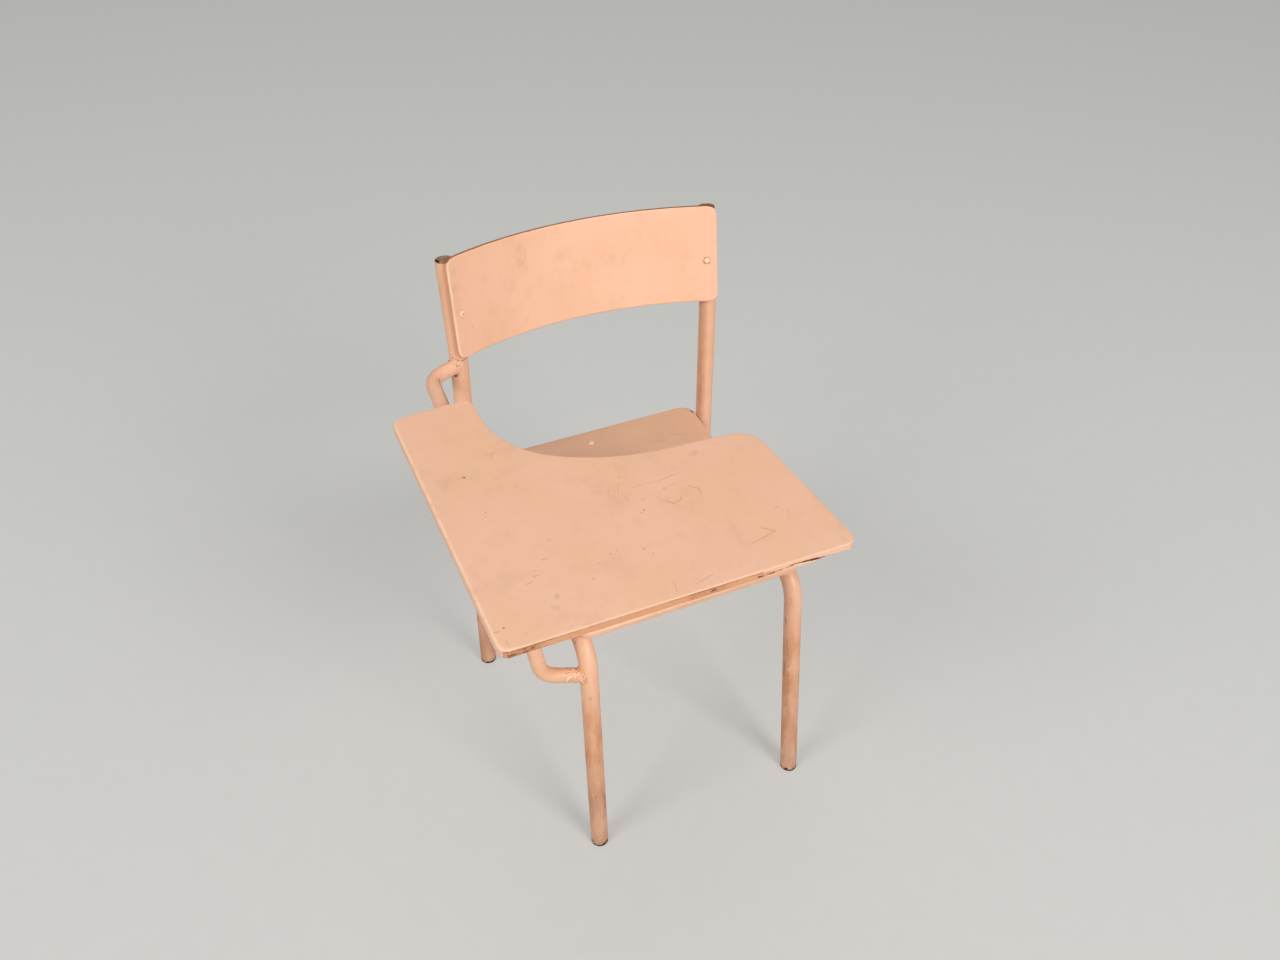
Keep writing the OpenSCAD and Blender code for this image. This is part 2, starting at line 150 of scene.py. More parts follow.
def soft_lamp(name, heading, height, distance, size, strength):
    """A square area lamp aimed at the seat, strong enough to light a facing surface so much."""
    target = place(0, 150, 400)
    heading, height = math.radians(heading), math.radians(height)
    level = math.cos(height)
    way = Vector((level * math.sin(heading), -level * math.cos(heading), math.sin(height)))
    data = bpy.data.lights.new(name, "AREA")
    data.size = size
    data.energy = strength * (math.pi * distance) ** 2
    data.color = LAMP_WHITE
    lamp = bpy.data.objects.new(name, data)
    lamp.location = target + way * distance
    lamp.rotation_euler = (-way).to_track_quat("-Z", "Y").to_euler()
    bpy.context.collection.objects.link(lamp)


soft_lamp("lamp_front", heading=17, height=35, distance=5, size=1.9, strength=0.64)
soft_lamp("lamp_side", heading=-74, height=36, distance=5, size=1.9, strength=0.43)
soft_lamp("lamp_top", heading=180, height=75, distance=5, size=2.8, strength=0.1)
print("lamps", len(bpy.data.lights))

# %% [markdown]
# ## A small language for node trees
#
# Materials and Geometry Nodes are both trees of nodes. One class makes nodes and another
# wraps a node's output, so sums on outputs can be written as plain Python sums. The same two
# classes serve the materials and the geometry.

# %% Node helpers


class Wire:
    """A node's output, on which sums can be written."""

    def __init__(self, tree, link):
        self.tree = tree
        self.link = link

    def sum(self, operation, first, second):
        return self.tree.make("ShaderNodeMath", {"operation": operation}, {0: first, 1: second})

    def __add__(self, other):
        return self.sum("ADD", self, other)

    def __radd__(self, other):
        return self.sum("ADD", other, self)

    def __sub__(self, other):
        return self.sum("SUBTRACT", self, other)

    def __rsub__(self, other):
        return self.sum("SUBTRACT", other, self)

    def __mul__(self, other):
        return self.sum("MULTIPLY", self, other)

    def __rmul__(self, other):
        return self.sum("MULTIPLY", other, self)

    def __truediv__(self, other):
        return self.sum("DIVIDE", self, other)

    def __abs__(self):
        return self.sum("ABSOLUTE", self, 0.0)

    def most(self, other):
        return self.sum("MAXIMUM", self, other)

    def ramp(self, low, high):
        """0 at or below low, 1 at or above high, smooth between. low may be the larger."""
        return self.tree.make(
            "ShaderNodeMapRange",
            {"interpolation_type": "SMOOTHSTEP"},
            {"Value": self, "From Min": low, "From Max": high},
        )


class Tree:
    """Makes the nodes of one tree."""

    def __init__(self, nodes):
        self.nodes = nodes

    def make(self, kind, settings=None, values=None, out=0):
        """A node of a kind, its settings first, then its sockets' values or wires."""
        node = self.nodes.nodes.new(kind)
        for key, value in (settings or {}).items():
            setattr(node, key, value)
        for key, value in (values or {}).items():
            if isinstance(value, Wire):
                self.nodes.links.new(value.link, node.inputs[key])
            else:
                node.inputs[key].default_value = value
        return Wire(self, node.outputs[out]) if node.outputs else node


def linear(red, green, blue):
    """A colour written as 0 to 255 screen values, as the linear colour that nodes use."""
    return tuple(((c / 255 + 0.055) / 1.055) ** 2.4 for c in (red, green, blue)) + (1.0,)


class Surface(Tree):
    """A material, with the few patterns that every finish on this chair uses."""

    def __init__(self, name):
        self.material = bpy.data.materials.new(name)
        self.material.use_nodes = True
        super().__init__(self.material.node_tree)
        self.nodes.nodes.clear()
        self.spot = self.make("ShaderNodeTexCoord", out="Object")

    def stretched(self, factors):
        """Object coordinates with each axis scaled on its own."""
        settings = {"operation": "MULTIPLY"}
        return self.make("ShaderNodeVectorMath", settings, {0: self.spot, 1: factors})

    def noise(self, scale, detail=2.0, spot=None, roughness=0.5):
        values = {"Vector": spot or self.spot, "Scale": scale, "Detail": detail}
        values["Roughness"] = roughness
        return self.make("ShaderNodeTexNoise", {"noise_dimensions": "3D"}, values)

    def attribute(self, name):
        return self.make("ShaderNodeAttribute", {"attribute_name": name}, out="Fac")

    def mix(self, factor, first, second):
        """The colour first where factor is 0 and second where it is 1."""
        values = {0: factor, 6: first, 7: second}
        return self.make("ShaderNodeMix", {"data_type": "RGBA"}, values, out=2)

    def finish(self, colour, roughness, height, depth, metallic=0.0, coat=0.0):
        """Joins colour, roughness and a height field of some depth, in metres, to a shader."""
        values = {"Strength": 1.0, "Distance": depth, "Height": height}
        bump = self.make("ShaderNodeBump", None, values)
        values = {"Base Color": colour, "Roughness": roughness, "Normal": bump}
        values["Metallic"] = metallic
        values["Coat Weight"] = coat
        shader = self.make("ShaderNodeBsdfPrincipled", None, values)
        self.make("ShaderNodeOutputMaterial", None, {"Surface": shader})
        return self.material


# %% Floor
FLOOR_TONE = linear(208, 208, 205)
FLOOR_DARK, FLOOR_LIGHT = linear(205, 205, 202), linear(211, 211, 208)
EVEN_SHARE = 0.45
WORLD_GLOW = 0.27
FLOOR_SIZE = 40
FLOOR_RELIEF = 0.2 * MM
floor_paint = Surface("floor_plain")
grain = floor_paint.noise(30, 4)
tone = floor_paint.mix(grain, FLOOR_DARK, FLOOR_LIGHT)
floor_paint.finish(tone, 0.9, grain, FLOOR_RELIEF)
matte = next(n for n in floor_paint.nodes.nodes if n.type == "BSDF_PRINCIPLED")
even = floor_paint.make("ShaderNodeEmission", None, {"Color": FLOOR_TONE, "Strength": 1.0})
seen = floor_paint.make("ShaderNodeLightPath", out="Is Camera Ray")
plain = Wire(floor_paint, matte.outputs[0])
blend = floor_paint.make("ShaderNodeMixShader", None, {0: seen * EVEN_SHARE, 1: plain, 2: even})
output = next(n for n in floor_paint.nodes.nodes if n.type == "OUTPUT_MATERIAL")
floor_paint.nodes.links.new(blend.link, output.inputs["Surface"])
bpy.ops.mesh.primitive_plane_add(size=FLOOR_SIZE)
floor = bpy.context.object
floor.name = "floor"
floor.data.materials.append(floor_paint.material)

world = bpy.data.worlds.new("world")
bpy.context.scene.world = world
world.use_nodes = True
sky = Tree(world.node_tree)
sky.nodes.nodes.clear()
light_path = sky.make("ShaderNodeLightPath", out="Is Camera Ray")
white = (1, 1, 1, 1)
glow = sky.make("ShaderNodeBackground", None, {"Color": white, "Strength": WORLD_GLOW})
backdrop = sky.make("ShaderNodeBackground", None, {"Color": FLOOR_TONE, "Strength": 1})
either = sky.make("ShaderNodeMixShader", None, {0: light_path, 1: glow, 2: backdrop})
sky.make("ShaderNodeOutputWorld", None, {"Surface": either})
print("floor", floor.name, "world", world.name)

# %% [markdown]
# ## The pink paint
#
# One tin of satin paint covers wood and steel, so one function makes it. Its colour drifts
# softly between a pinker and a yellower tone, hairline scratches cross it where a slow noise
# allows them, and a fine orange-peel texture breaks up its gloss. Each finish adds what is
# its own: marks and bare edges on the plywood, dirt and streaks on the steel.

# %% Paint colours and common patterns
PEACH = linear(240, 190, 161)
TAN = linear(237, 188, 154)
CREAM = linear(250, 212, 180)
DULL = linear(216, 164, 128)
GRIME = linear(196, 148, 118)
# A dark brown for chips, stains and spatter, and also for painted shade along the edges of peeled
# paint.
SOOT_AND_SHADE = linear(150, 94, 62)
DARK = linear(66, 42, 30)
CRACK = linear(92, 56, 36)
PLY_LIGHT = linear(226, 168, 128)
PLY_DARK = linear(206, 146, 108)
HAIRLINE = linear(182, 136, 104)
BLOT = linear(192, 146, 114)
PAINT_RELIEF = 0.3 * MM
METAL_RELIEF = 0.15 * MM


def paint_base(surface, main=PEACH, second=TAN):
    """The paint's own colour, and a fine height field for its texture."""
    drift = surface.noise(11, 3).ramp(0.4, 0.62)
    colour = surface.mix(drift, main, second)
    cloud = surface.noise(46, 5, roughness=0.6).ramp(0.5, 0.85)
    colour = surface.mix(cloud * 0.3, colour, DULL)
    texture = surface.noise(900, 2) * 0.5 + surface.noise(240, 3) * 0.5
    return colour, texture


def hairlines(surface, stretch, width, where):
    """Thin, nearly straight lines: where a stretched noise crosses its middle value."""
    noise_field = surface.noise(1, 1, spot=surface.stretched(stretch))
    return abs(noise_field - 0.5).ramp(width, 0.0) * where


# %% Scratches and spots


def vector_sum(surface, operation, first, second, out=0):
    """A node that works on two vectors."""
    settings = {"operation": operation}
    return surface.make("ShaderNodeVectorMath", settings, {0: first, 1: second}, out=out)


def stroke(surface, spot, start, end, width):
    """A scratch from start to end, width in mm."""
    along = end - start
    away = vector_sum(surface, "SUBTRACT", spot, start)
    share = vector_sum(surface, "DOT_PRODUCT", away, along, "Value")
    share = surface.make("ShaderNodeClamp", None, {0: share / along.length_squared})
    settings = {"operation": "SCALE"}
    nearest = surface.make("ShaderNodeVectorMath", settings, {0: along, "Scale": share})
    nearest = vector_sum(surface, "ADD", nearest, start)
    distance = vector_sum(surface, "DISTANCE", spot, nearest, "Value")
    return distance.ramp(width * MM, width * 0.25 * MM)


def spot_mark(surface, spot, centre, radius, soft=0.6):
    """A round soft-edged mark around centre, radius in mm."""
    distance = vector_sum(surface, "DISTANCE", spot, centre, "Value")
    return distance.ramp(radius * MM, radius * (1 - soft) * MM)


def wobbled(surface, amount=1.2, scale=150):
    """Object coordinates shaken by a fine noise, amount in mm, so that marks are uneven."""
    values = {"Vector": surface.spot, "Scale": scale, "Detail": 3.0}
    shake = surface.make("ShaderNodeTexNoise", None, values, out=1)
    shake = vector_sum(surface, "SUBTRACT", shake, (0.5, 0.5, 0.5))
    settings = {"operation": "SCALE"}
    shake = surface.make("ShaderNodeVectorMath", settings, {0: shake, "Scale": amount * 2 * MM})
    return vector_sum(surface, "ADD", surface.spot, shake)


# %% Painted plywood
PLY_TURNS = 31


def painted_board(name, marks, lines, main=PEACH, second=TAN):
    """Paint on plywood. marks(surface) gives (mask, colour) pairs, and lines the scratches."""
    surface = Surface(name)
    colour, texture = paint_base(surface, main, second)
    where = surface.noise(16, 2).ramp(0.56, 0.66)
    scratches = hairlines(surface, (14, 62, 40), 0.0035, where) * lines
    dust = surface.noise(17, 5, roughness=0.65).ramp(0.5, 0.8) * 0.3
    colour = surface.mix(dust, colour, GRIME)
    colour = surface.mix(scratches, colour, HAIRLINE)
    blots = surface.noise(75, 2).ramp(0.735, 0.78) * 0.4
    colour = surface.mix(blots, colour, BLOT)
    for mask, tone in marks(surface):
        colour = surface.mix(mask, colour, tone)
    # Painted highlight: a cream tone on the rounded lips that catch the lamps.
    rub = surface.attribute("rub") * surface.noise(60, 3).ramp(0.2, 0.6)
    colour = surface.mix(rub, colour, CREAM)
    fray = (surface.noise(420, 3) - 0.5) * 0.5
    # Stains, and painted shade: dark brown from the stain_and_shade attribute.
    stain_and_shade = (surface.attribute("stain_and_shade") + fray).ramp(0.2, 0.75)
    bare = surface.attribute("bare") + fray * 0.6
    # Painted shadow: a dark brown line along the border of each peeled patch, under the paint's edge.
    rim = bare.ramp(0.06, 0.3)
    colour = surface.mix(rim * 0.75, colour, SOOT_AND_SHADE)
    peeled = bare.ramp(0.36, 0.5)
    plies = surface.attribute("ply") * PLY_TURNS
    plies = surface.make("ShaderNodeMath", {"operation": "SINE"}, {0: plies})
    fibre = surface.noise(1, 3, spot=surface.stretched((120, 120, 1100)))
    wood = surface.mix((plies * 0.22 + fibre).ramp(0.2, 0.85), PLY_LIGHT, PLY_DARK)
    colour = surface.mix(peeled, colour, wood)
    colour = surface.mix(stain_and_shade * 0.85, colour, SOOT_AND_SHADE)
    chip = (surface.attribute("chip") + fray).ramp(0.3, 0.6)
    colour = surface.mix(chip, colour, SOOT_AND_SHADE)
    deep = (surface.attribute("deep") + fray * 0.6).ramp(0.35, 0.55)
    colour = surface.mix(deep, colour, CRACK)
    roughness = 0.46 + texture * 0.1 + peeled.most(stain_and_shade).most(deep) * 0.35
    height = texture * 0.12 - scratches * 0.2 - peeled * 0.8 + peeled * fibre * 0.6
    return surface.finish(colour, roughness, height, PAINT_RELIEF)


# %% [markdown]
# ### Paint on the steel tube
#
# The tubes have the same paint, but hands, shoes and damp have dirtied them: broad brown and grey
# streaks low on the legs, thin broken lines along them, chips at the feet, and rough spatter round two
# welds. The long dark lines beside the joints are known one by one: some are dirt, and many are
# painted shade on the sides of the tubes that the tablet and the seat keep from a lamp. Each is one
# row: its two ends as places, its width in mm and its strength.

# %% Places and colours of the dirt
TUBE_PINK, TUBE_TAN = linear(238, 187, 155), linear(234, 181, 145)
LEG_BROWN = linear(206, 144, 104)
LEG_GREY = linear(178, 142, 122)
STREAK = linear(132, 90, 64)
LINE_DIRT_AND_SHADE = linear(128, 80, 54)
RUST, OLD_STEEL = linear(96, 62, 44), linear(58, 42, 34)
WELD_HOLE = place(-200, 347, 583)
# The first five rows run down the front leg on the sitter's left, on its side towards the middle. They
# are a thin dark line along the border between its lit and shaded halves, which is dirt and painted
# shade, and a broad band of painted shade where the tablet keeps the side lamp off. The next two lie
# on the same side of the right front leg: painted shade under the seat and the tablet at its top, and
# a broad darker band lower down. Then come a thin streak of dirt low on that leg, a line of painted
# shade along the support tube's inner side under the tablet, and the dirty seam of a weld under the
# backrest, in two rows. Then a dark line on the support tube's drop, and three rows of painted shade,
# with a thin dark streak in it, on the inner half of the rear leg on the sitter's left above the seat.
GRIME_AND_SHADE_LINES = [
    ((146, 16, 372), (144.2, -1.4, 340), 2.6, 0.95),
    ((144.2, -1.4, 340), (143.9, -17.5, 300), 1.9, 0.85),
    ((143.9, -17.5, 300), (146.7, -33.5, 220), 1.3, 0.6),
    ((146.7, -33.5, 220), (148.1, -44.6, 140), 1.1, 0.55),
    ((144, 4, 345), (146, -30, 200), 8.0, 0.35),
    ((-163.5, 8, 372), (-164.5, -3, 340), 2.8, 0.85),
    ((-160, -30, 296), (-161, -42, 246), 5.0, 0.35),
    ((-164, -50, 120), (-164, -56, 70), 1.2, 0.6),
    ((-228.8, 326, 597), (-233, 244, 597), 2.6, 0.8),
    ((-203, 350, 609), (-192, 342, 605), 1.4, 0.7),
    ((-192, 342, 605), (-180, 348, 606), 1.4, 0.7),
    ((-222, -20, 335), (-196, -25, 332), 2.0, 0.5),
    ((179, 350, 607), (183, 344, 402), 11.0, 0.3),
    ((179.5, 348, 520), (183, 343, 402), 5.0, 0.4),
    ((181.5, 345, 470), (183, 343, 418), 1.6, 0.55),
]
WELD_ROUGH = place(-178, -10, 331)
print("grimy lines", len(GRIME_AND_SHADE_LINES))

# %% Painted steel


def painted_steel(name, weld=0.0):
    """Paint on the steel tube, dirtier and more chipped towards the floor."""
    surface = Surface(name)
    colour, texture = paint_base(surface, TUBE_PINK, TUBE_TAN)
    height = surface.make("ShaderNodeSeparateXYZ", None, {0: surface.spot}, out="Z")
    low = height.ramp(0.36, 0.2)
    foot = height.ramp(0.24, 0.06)
    bands = surface.noise(1, 4, spot=surface.stretched((62, 62, 17)))
    browned = low * (bands.ramp(0.35, 0.62) * 0.5 + 0.28) + bands.ramp(0.52, 0.68) * 0.22
    colour = surface.mix(browned, colour, LEG_BROWN)
    greys = surface.noise(1, 3, spot=surface.stretched((90, 90, 30)))
    greyed = foot * (greys.ramp(0.4, 0.62) * 0.3 + 0.25)
    colour = surface.mix(greyed, colour, LEG_GREY)
    dirt = surface.noise(34, 4).ramp(0.5, 0.8) * (0.15 + low * 0.25)
    colour = surface.mix(dirt, colour, GRIME)
    thin = abs(surface.noise(1, 0, spot=surface.stretched((60, 60, 1.6))) - 0.5)
    broken = surface.noise(1, 2, spot=surface.stretched((40, 40, 17))).ramp(0.53, 0.6)
    thin = thin.ramp(0.016, 0.0) * broken * height.ramp(0.4, 0.22)
    colour = surface.mix(thin * 0.45, colour, STREAK)
    shaken = wobbled(surface, 2.5, 90)
    # Dark lines known one by one: dirt along a weld seam, and painted shade down the sides of the legs
    # and tubes that the tablet and the seat keep from a lamp.
    grime_and_shade = None
    for start, end, width, strength in GRIME_AND_SHADE_LINES:
        line = stroke(surface, shaken, place(*start), place(*end), width) * strength
        grime_and_shade = grime_and_shade.most(line) if grime_and_shade else line
    colour = surface.mix(grime_and_shade, colour, LINE_DIRT_AND_SHADE)
    spatter = spot_mark(surface, shaken, WELD_ROUGH, 22, soft=0.5)
    colour = surface.mix(surface.noise(380, 2).ramp(0.56, 0.62) * spatter, colour, SOOT_AND_SHADE)
    colour = surface.mix(surface.noise(300, 2).ramp(0.42, 0.36) * spatter, colour, CREAM)
    specks = surface.noise(190, 3).ramp(0.74, 0.76) * 0.7
    rim = height.ramp(0.011, 0.003)
    chips = (surface.noise(230, 3) + rim * 0.2 - 0.07).ramp(0.56, 0.6)
    chips = (chips * height.ramp(0.012, 0.006)).most(specks)
    hole = spot_mark(surface, wobbled(surface, 1.0), WELD_HOLE, 5.5, soft=0.55)
    chips = chips.most(hole)
    if weld:
        chips = chips.most(surface.noise(620, 3).ramp(0.53, 0.6) * weld)
    rust = surface.noise(300, 3)
    steel = surface.mix(rust.ramp(0.4, 0.6), RUST, OLD_STEEL)
    colour = surface.mix(chips, colour, steel)
    roughness = 0.38 + texture * 0.1 + browned * 0.3 + chips * 0.25
    relief = texture * 0.15 - chips * 0.7
    return surface.finish(colour, roughness, relief, PAINT_RELIEF)


frame_paint = painted_steel("frame_paint")
weld_paint = painted_steel("weld_paint", weld=0.75)
print("steel finishes", frame_paint.name, weld_paint.name)

# %% [markdown]
# ## Marks on the panels
#
# Many marks are large enough to know one by one: the open V scratched near the tablet's inner
# front corner, the hooked scratches before it, a nick in the arm, and the shadow that a hand
# has worn into the top of the backrest. A scratch is a thin band round the line between two
# points, and a nick or smudge is a soft round spot. A fine noise shakes them, so that none is
# quite straight or round, and each panel's material takes its own list.

# %% Marks
SCRATCH_AND_SHADE = linear(196, 146, 112)
NICK = linear(130, 86, 60)
HAND = linear(202, 153, 120)
RIVET_DIRT_AND_SHADE = linear(150, 102, 72)
HAND_AT = (-82, 717)
TABLET_TOP = 614
SEAT_TOP = 398


def strokes_mask(surface, spot, level, rows):
    """One mask for many scratches, each (x, y, x, y, width, strength) at one level, in mm."""
    total = None
    for x, y, end_x, end_y, width, strength in rows:
        line = stroke(surface, spot, place(x, y, level), place(end_x, end_y, level), width)
        line = line * (strength * 0.9)
        total = total.most(line) if total else line
    return total


def spots_mask(surface, spot, level, rows):
    """One mask for many round spots, each (x, y, radius, strength) at one level, in mm."""
    total = None
    for x, y, radius, strength in rows:
        mark = spot_mark(surface, spot, place(x, y, level), radius) * (strength * 0.85)
        total = total.most(mark) if total else mark
    return total


# %% Marks on the tablet


def tablet_marks(surface):
    spot = wobbled(surface, 1.0)
    scratches = [
        (28, -126, 16, -115, 1.1, 0.75), (28, -126, -8, -134, 1.0, 0.6),
        (-90, -164, -68, -158, 1.0, 0.6), (-111, -150, -114, -165, 0.9, 0.6),
        (-58, 4, -33, 7, 1.2, 0.6), (-90, 6, -58, 4, 1.1, 0.35),
        (-62, -33, -56, -39, 1.3, 0.7), (-56, -39, -46, -36, 1.3, 0.7), (-46, -36, -43, -31, 1.3, 0.6),
        (-27, -18, -18, -27, 1.4, 0.6), (-18, -27, -20, -36, 1.3, 0.6),
        (-102, 18, -109, 1, 1.1, 0.4), (-228, -65, -222, -64, 1.2, 0.6),
        (-256, -93, -250, -91, 1.2, 0.55), (-313, -143, -304, -144, 1.1, 0.7),
        (61, -100, 52, -112, 1.0, 0.3), (-40, 10, -25, 20, 0.9, 0.3), (-75, -12, -66, -26, 1.0, 0.3),
    ]
    yield strokes_mask(surface, spot, TABLET_TOP, scratches), SCRATCH_AND_SHADE
    smudges = [
        (-219, 128, 6, 0.35), (-225, 130, 5, 0.3), (-233, -121, 4.5, 0.55), (-241, -136, 6, 0.25),
        (7, 34, 6, 0.4), (0, 33, 5, 0.3), (-86, -19, 5, 0.3), (-103, -12, 5, 0.3), (-54, -10, 4, 0.35),
        (-211, -38, 3.5, 0.35), (-214, 60, 3.5, 0.3), (-241, -78, 3, 0.35), (-242, -85, 3, 0.35),
        (49, -93, 3, 0.3), (-66, -30, 9, 0.2), (-35, -25, 10, 0.2),
    ]
    yield spots_mask(surface, wobbled(surface, 5, 90), TABLET_TOP, smudges), HAND
    nicks = [
        (-263.5, 99.5, 2.4, 1.0), (-265, 102, 1.4, 0.7), (-260, 32, 1.6, 0.55), (-263, 25, 1.4, 0.5),
        (-127, 14, 1.3, 0.45), (-117, 11, 1.4, 0.5), (-96, 29, 1.5, 0.5), (-93, -36, 1.6, 0.9),
        (-148, -84, 1.5, 0.45), (-156, -86, 1.3, 0.4), (-119, -93, 1.6, 0.5), (-113, -104, 1.4, 0.4),
        (-299, -141, 1.9, 0.85), (-188, -113, 1.7, 0.5), (-174, -94, 1.4, 0.45),
    ]
    yield spots_mask(surface, spot, TABLET_TOP, nicks), NICK


# %% Marks on the seat and the backrest


def seat_marks(surface):
    spot = wobbled(surface, 0.8)
    scratches = [
        (120, 322, 146, 308, 1.0, 0.6), (60, 250, 92, 232, 1.0, 0.3),
        (-60, 120, -30, 140, 1.0, 0.3), (20, 60, 24, 96, 1.0, 0.3), (-90, 200, -84, 160, 1.0, 0.25),
    ]
    yield strokes_mask(surface, spot, SEAT_TOP, scratches), SCRATCH_AND_SHADE
    # Darker rings round the three rivet heads, and spots in the slit where the seat's rear corner
    # meets the upright on the sitter's left: dirt, and painted shade in the gap round each head and
    # between seat and tube.
    rings = [(0, BAR_Y, 7.0, 0.6), (157, 120, 7.0, 0.6), (-157, 120, 7.0, 0.6)]
    rings += [(179, 359, 5.0, 1.0), (182, 350, 4.0, 1.0), (185, 341, 3.0, 0.9)]
    yield spots_mask(surface, spot, SEAT_TOP, rings), RIVET_DIRT_AND_SHADE


def back_marks(surface):
    squeeze = Vector((1.0, 0.0, 0.55))
    flat_spot = vector_sum(surface, "MULTIPLY", surface.spot, squeeze)
    centre = place(HAND_AT[0], 0, HAND_AT[1]) * squeeze
    hand = vector_sum(surface, "DISTANCE", flat_spot, centre, "Value")
    worn = surface.noise(120, 3).ramp(0.35, 0.6)
    yield hand.ramp(0.0115, 0.004) * worn * 0.3, HAND
    spot = wobbled(surface, 0.6)
    # A darker ring round each rivet head, stronger at the left end: dirt, and painted shade in the gap
    # round the head.
    for side in (RIGHT, LEFT):
        ring = spot_mark(surface, spot, back_rivet_places(side)[0], 7.2, soft=0.35)
        yield ring * (0.2 if side == RIGHT else 0.45), SCRATCH_AND_SHADE


# %% [markdown]
# ## The plywood panels
#
# All three panels are sawn from plywood, rounded over at the rim and painted. A panel is a
# stack of rings that follow its outline: inner rings on the top, a quarter round, the wall,
# another quarter round and inner rings below. The outlines of the tablet and the seat come
# from their CAD solids, cut at half their thickness, so they have exactly the right size. The
# backrest is a rounded rectangle until it is bent. Extra points along a worn edge give the
# damage something to move.

# %% Outlines
FINE_STEP = 0.0004
SMOOTH_PASSES = 4


def outline_of(node, height):
    """The outer loop of a CAD node cut at a height, as x and y, anticlockwise."""
    cut = bmesh.new()
    cut.from_mesh(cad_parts[node].data)
    bmesh.ops.remove_doubles(cut, verts=cut.verts, dist=1e-6)
    everything = cut.verts[:] + cut.edges[:] + cut.faces[:]
    found = bmesh.ops.bisect_plane(
        cut, geom=everything, plane_co=(0, 0, height), plane_no=(0, 0, 1)
    )
    steps = {}
    for part in found["geom_cut"]:
        if isinstance(part, bmesh.types.BMEdge):
            for vert, other in (part.verts, reversed(part.verts)):
                steps.setdefault(vert, []).append(other)
    start = min(steps, key=lambda vert: vert.co.x)
    loop, here, before = [], start, None
    while not loop or here is not start:
        loop.append((here.co.x, here.co.y))
        ahead = [vert for vert in steps[here] if vert is not before]
        before, here = here, ahead[0]
    points = np.array(loop)
    cut.free()
    after = np.roll(points, -1, axis=0)
    area = np.sum(points[:, 0] * after[:, 1] - after[:, 0] * points[:, 1]) / 2
    return points if area > 0 else points[::-1]


def resampled(points, spacing):
    """The loop with new points, as far apart as spacing(middle, direction) says, smoothed."""
    closed = np.vstack([points, points[:1]])
    rows = []
    for start, end in zip(closed[:-1], closed[1:]):
        length = np.linalg.norm(end - start)
        pieces = max(1, int(round(length / FINE_STEP)))
        share = np.arange(pieces)[:, None] / pieces
        rows.append(start + (end - start) * share)
    fine = np.vstack(rows)
    step = np.roll(fine, -1, axis=0) - fine
    length = np.linalg.norm(step, axis=1)
    cost = length / np.array([spacing(p, d / n) for p, d, n in zip(fine, step, length)])
    travelled = np.concatenate([[0], np.cumsum(cost)])
    count = int(round(travelled[-1]))
    wanted = np.arange(count) * travelled[-1] / count
    fine = np.vstack([fine, fine[:1]])
    new = np.column_stack([np.interp(wanted, travelled, fine[:, axis]) for axis in (0, 1)])
    for _ in range(SMOOTH_PASSES):
        new = (np.roll(new, 1, axis=0) + 2 * new + np.roll(new, -1, axis=0)) / 4
    return new


# %% A board from an outline
INNER_RINGS = (11, 8, 6, 4.5)
DAMAGE_AND_LIGHT = ("bare", "deep", "chip", "stain_and_shade", "rub", "ply")


def rim_rows(thick, top_r, low_r, wall):
    """(distance inside the outline, height) of each ring, from the top's middle to the back's."""
    quarter = [math.radians(18 * i) for i in range(6)]
    rows = [(inside, thick) for inside in INNER_RINGS]
    rows += [(top_r * (1 - math.sin(a)), thick - top_r * (1 - math.cos(a))) for a in quarter]
    rows += [(0, h) for h in np.linspace(thick - top_r, low_r, wall + 2)[1:-1]]
    rows += [(low_r * (1 - math.cos(a)), low_r * (1 - math.sin(a))) for a in quarter]
    rows += [(inside, 0) for inside in reversed(INNER_RINGS)]
    return rows


def board(name, outline, thick, top_r, low_r, wall, wear_and_light, crisp):
    """A closed panel in its own flat frame. wear_and_light(point, h, out) gives a point's damage, and
    the painted highlight and shade on it.

    crisp is (radius, share): where share(out) is 1, the top is rounded by that radius instead.
    """
    direction = np.roll(outline, -1, axis=0) - np.roll(outline, 1, axis=0)
    direction /= np.linalg.norm(direction, axis=1)[:, None]
    outward = np.column_stack([direction[:, 1], -direction[:, 0]])
    crisp_r, crisp_share = crisp
    rows = rim_rows(thick, top_r, low_r, wall)
    crisp_rows = rim_rows(thick, crisp_r, low_r, wall)
    count = len(outline)
    verts, values = [], {key: [] for key in DAMAGE_AND_LIGHT}
    for soft_row, crisp_row in zip(rows, crisp_rows):
        for point, out in zip(outline, outward):
            share = crisp_share(out)
            inside, h = (a + (b - a) * share for a, b in zip(soft_row, crisp_row))
            hurt_and_light = wear_and_light(point, h, out) if inside < INNER_RINGS[-1] else {}
            moved = point - out * (inside + hurt_and_light.get("depth", 0)) * MM
            verts.append((moved[0], moved[1], h * MM))
            for key in values:
                values[key].append(h / thick if key == "ply" else hurt_and_light.get(key, 0))
    faces = []
    last = (len(rows) - 1) * count
    for upper in range(0, last, count):
        for i in range(count):
            j = (i + 1) % count
            faces.append((upper + i, upper + count + i, upper + count + j, upper + j))
    faces.append(tuple(range(count)))
    faces.append(tuple(reversed(range(last, last + count))))
    mesh = bpy.data.meshes.new(name)
    mesh.from_pydata(verts, [], faces)
    for key, numbers in values.items():
        layer = mesh.attributes.new(key, "FLOAT", "POINT")
        layer.data.foreach_set("value", np.array(numbers, np.float32))
    mesh.shade_smooth()
    piece = bpy.data.objects.new(name, mesh)
    bpy.context.collection.objects.link(piece)
    print(name, len(verts), "points")
    return piece


# %% A smooth step and a noise, as plain numbers


def fit(low, high, value):
    """0 at or below low, 1 at or above high, smooth between. low may be the larger."""
    share = min(1.0, max(0.0, (value - low) / (high - low)))
    return share * share * (3 - 2 * share)


def rough(x, y, z, scale):
    """A steady noise from -1 to 1 at a place given in metres, scale features to the metre."""
    return noise.noise(Vector((x, y, z)) * scale)


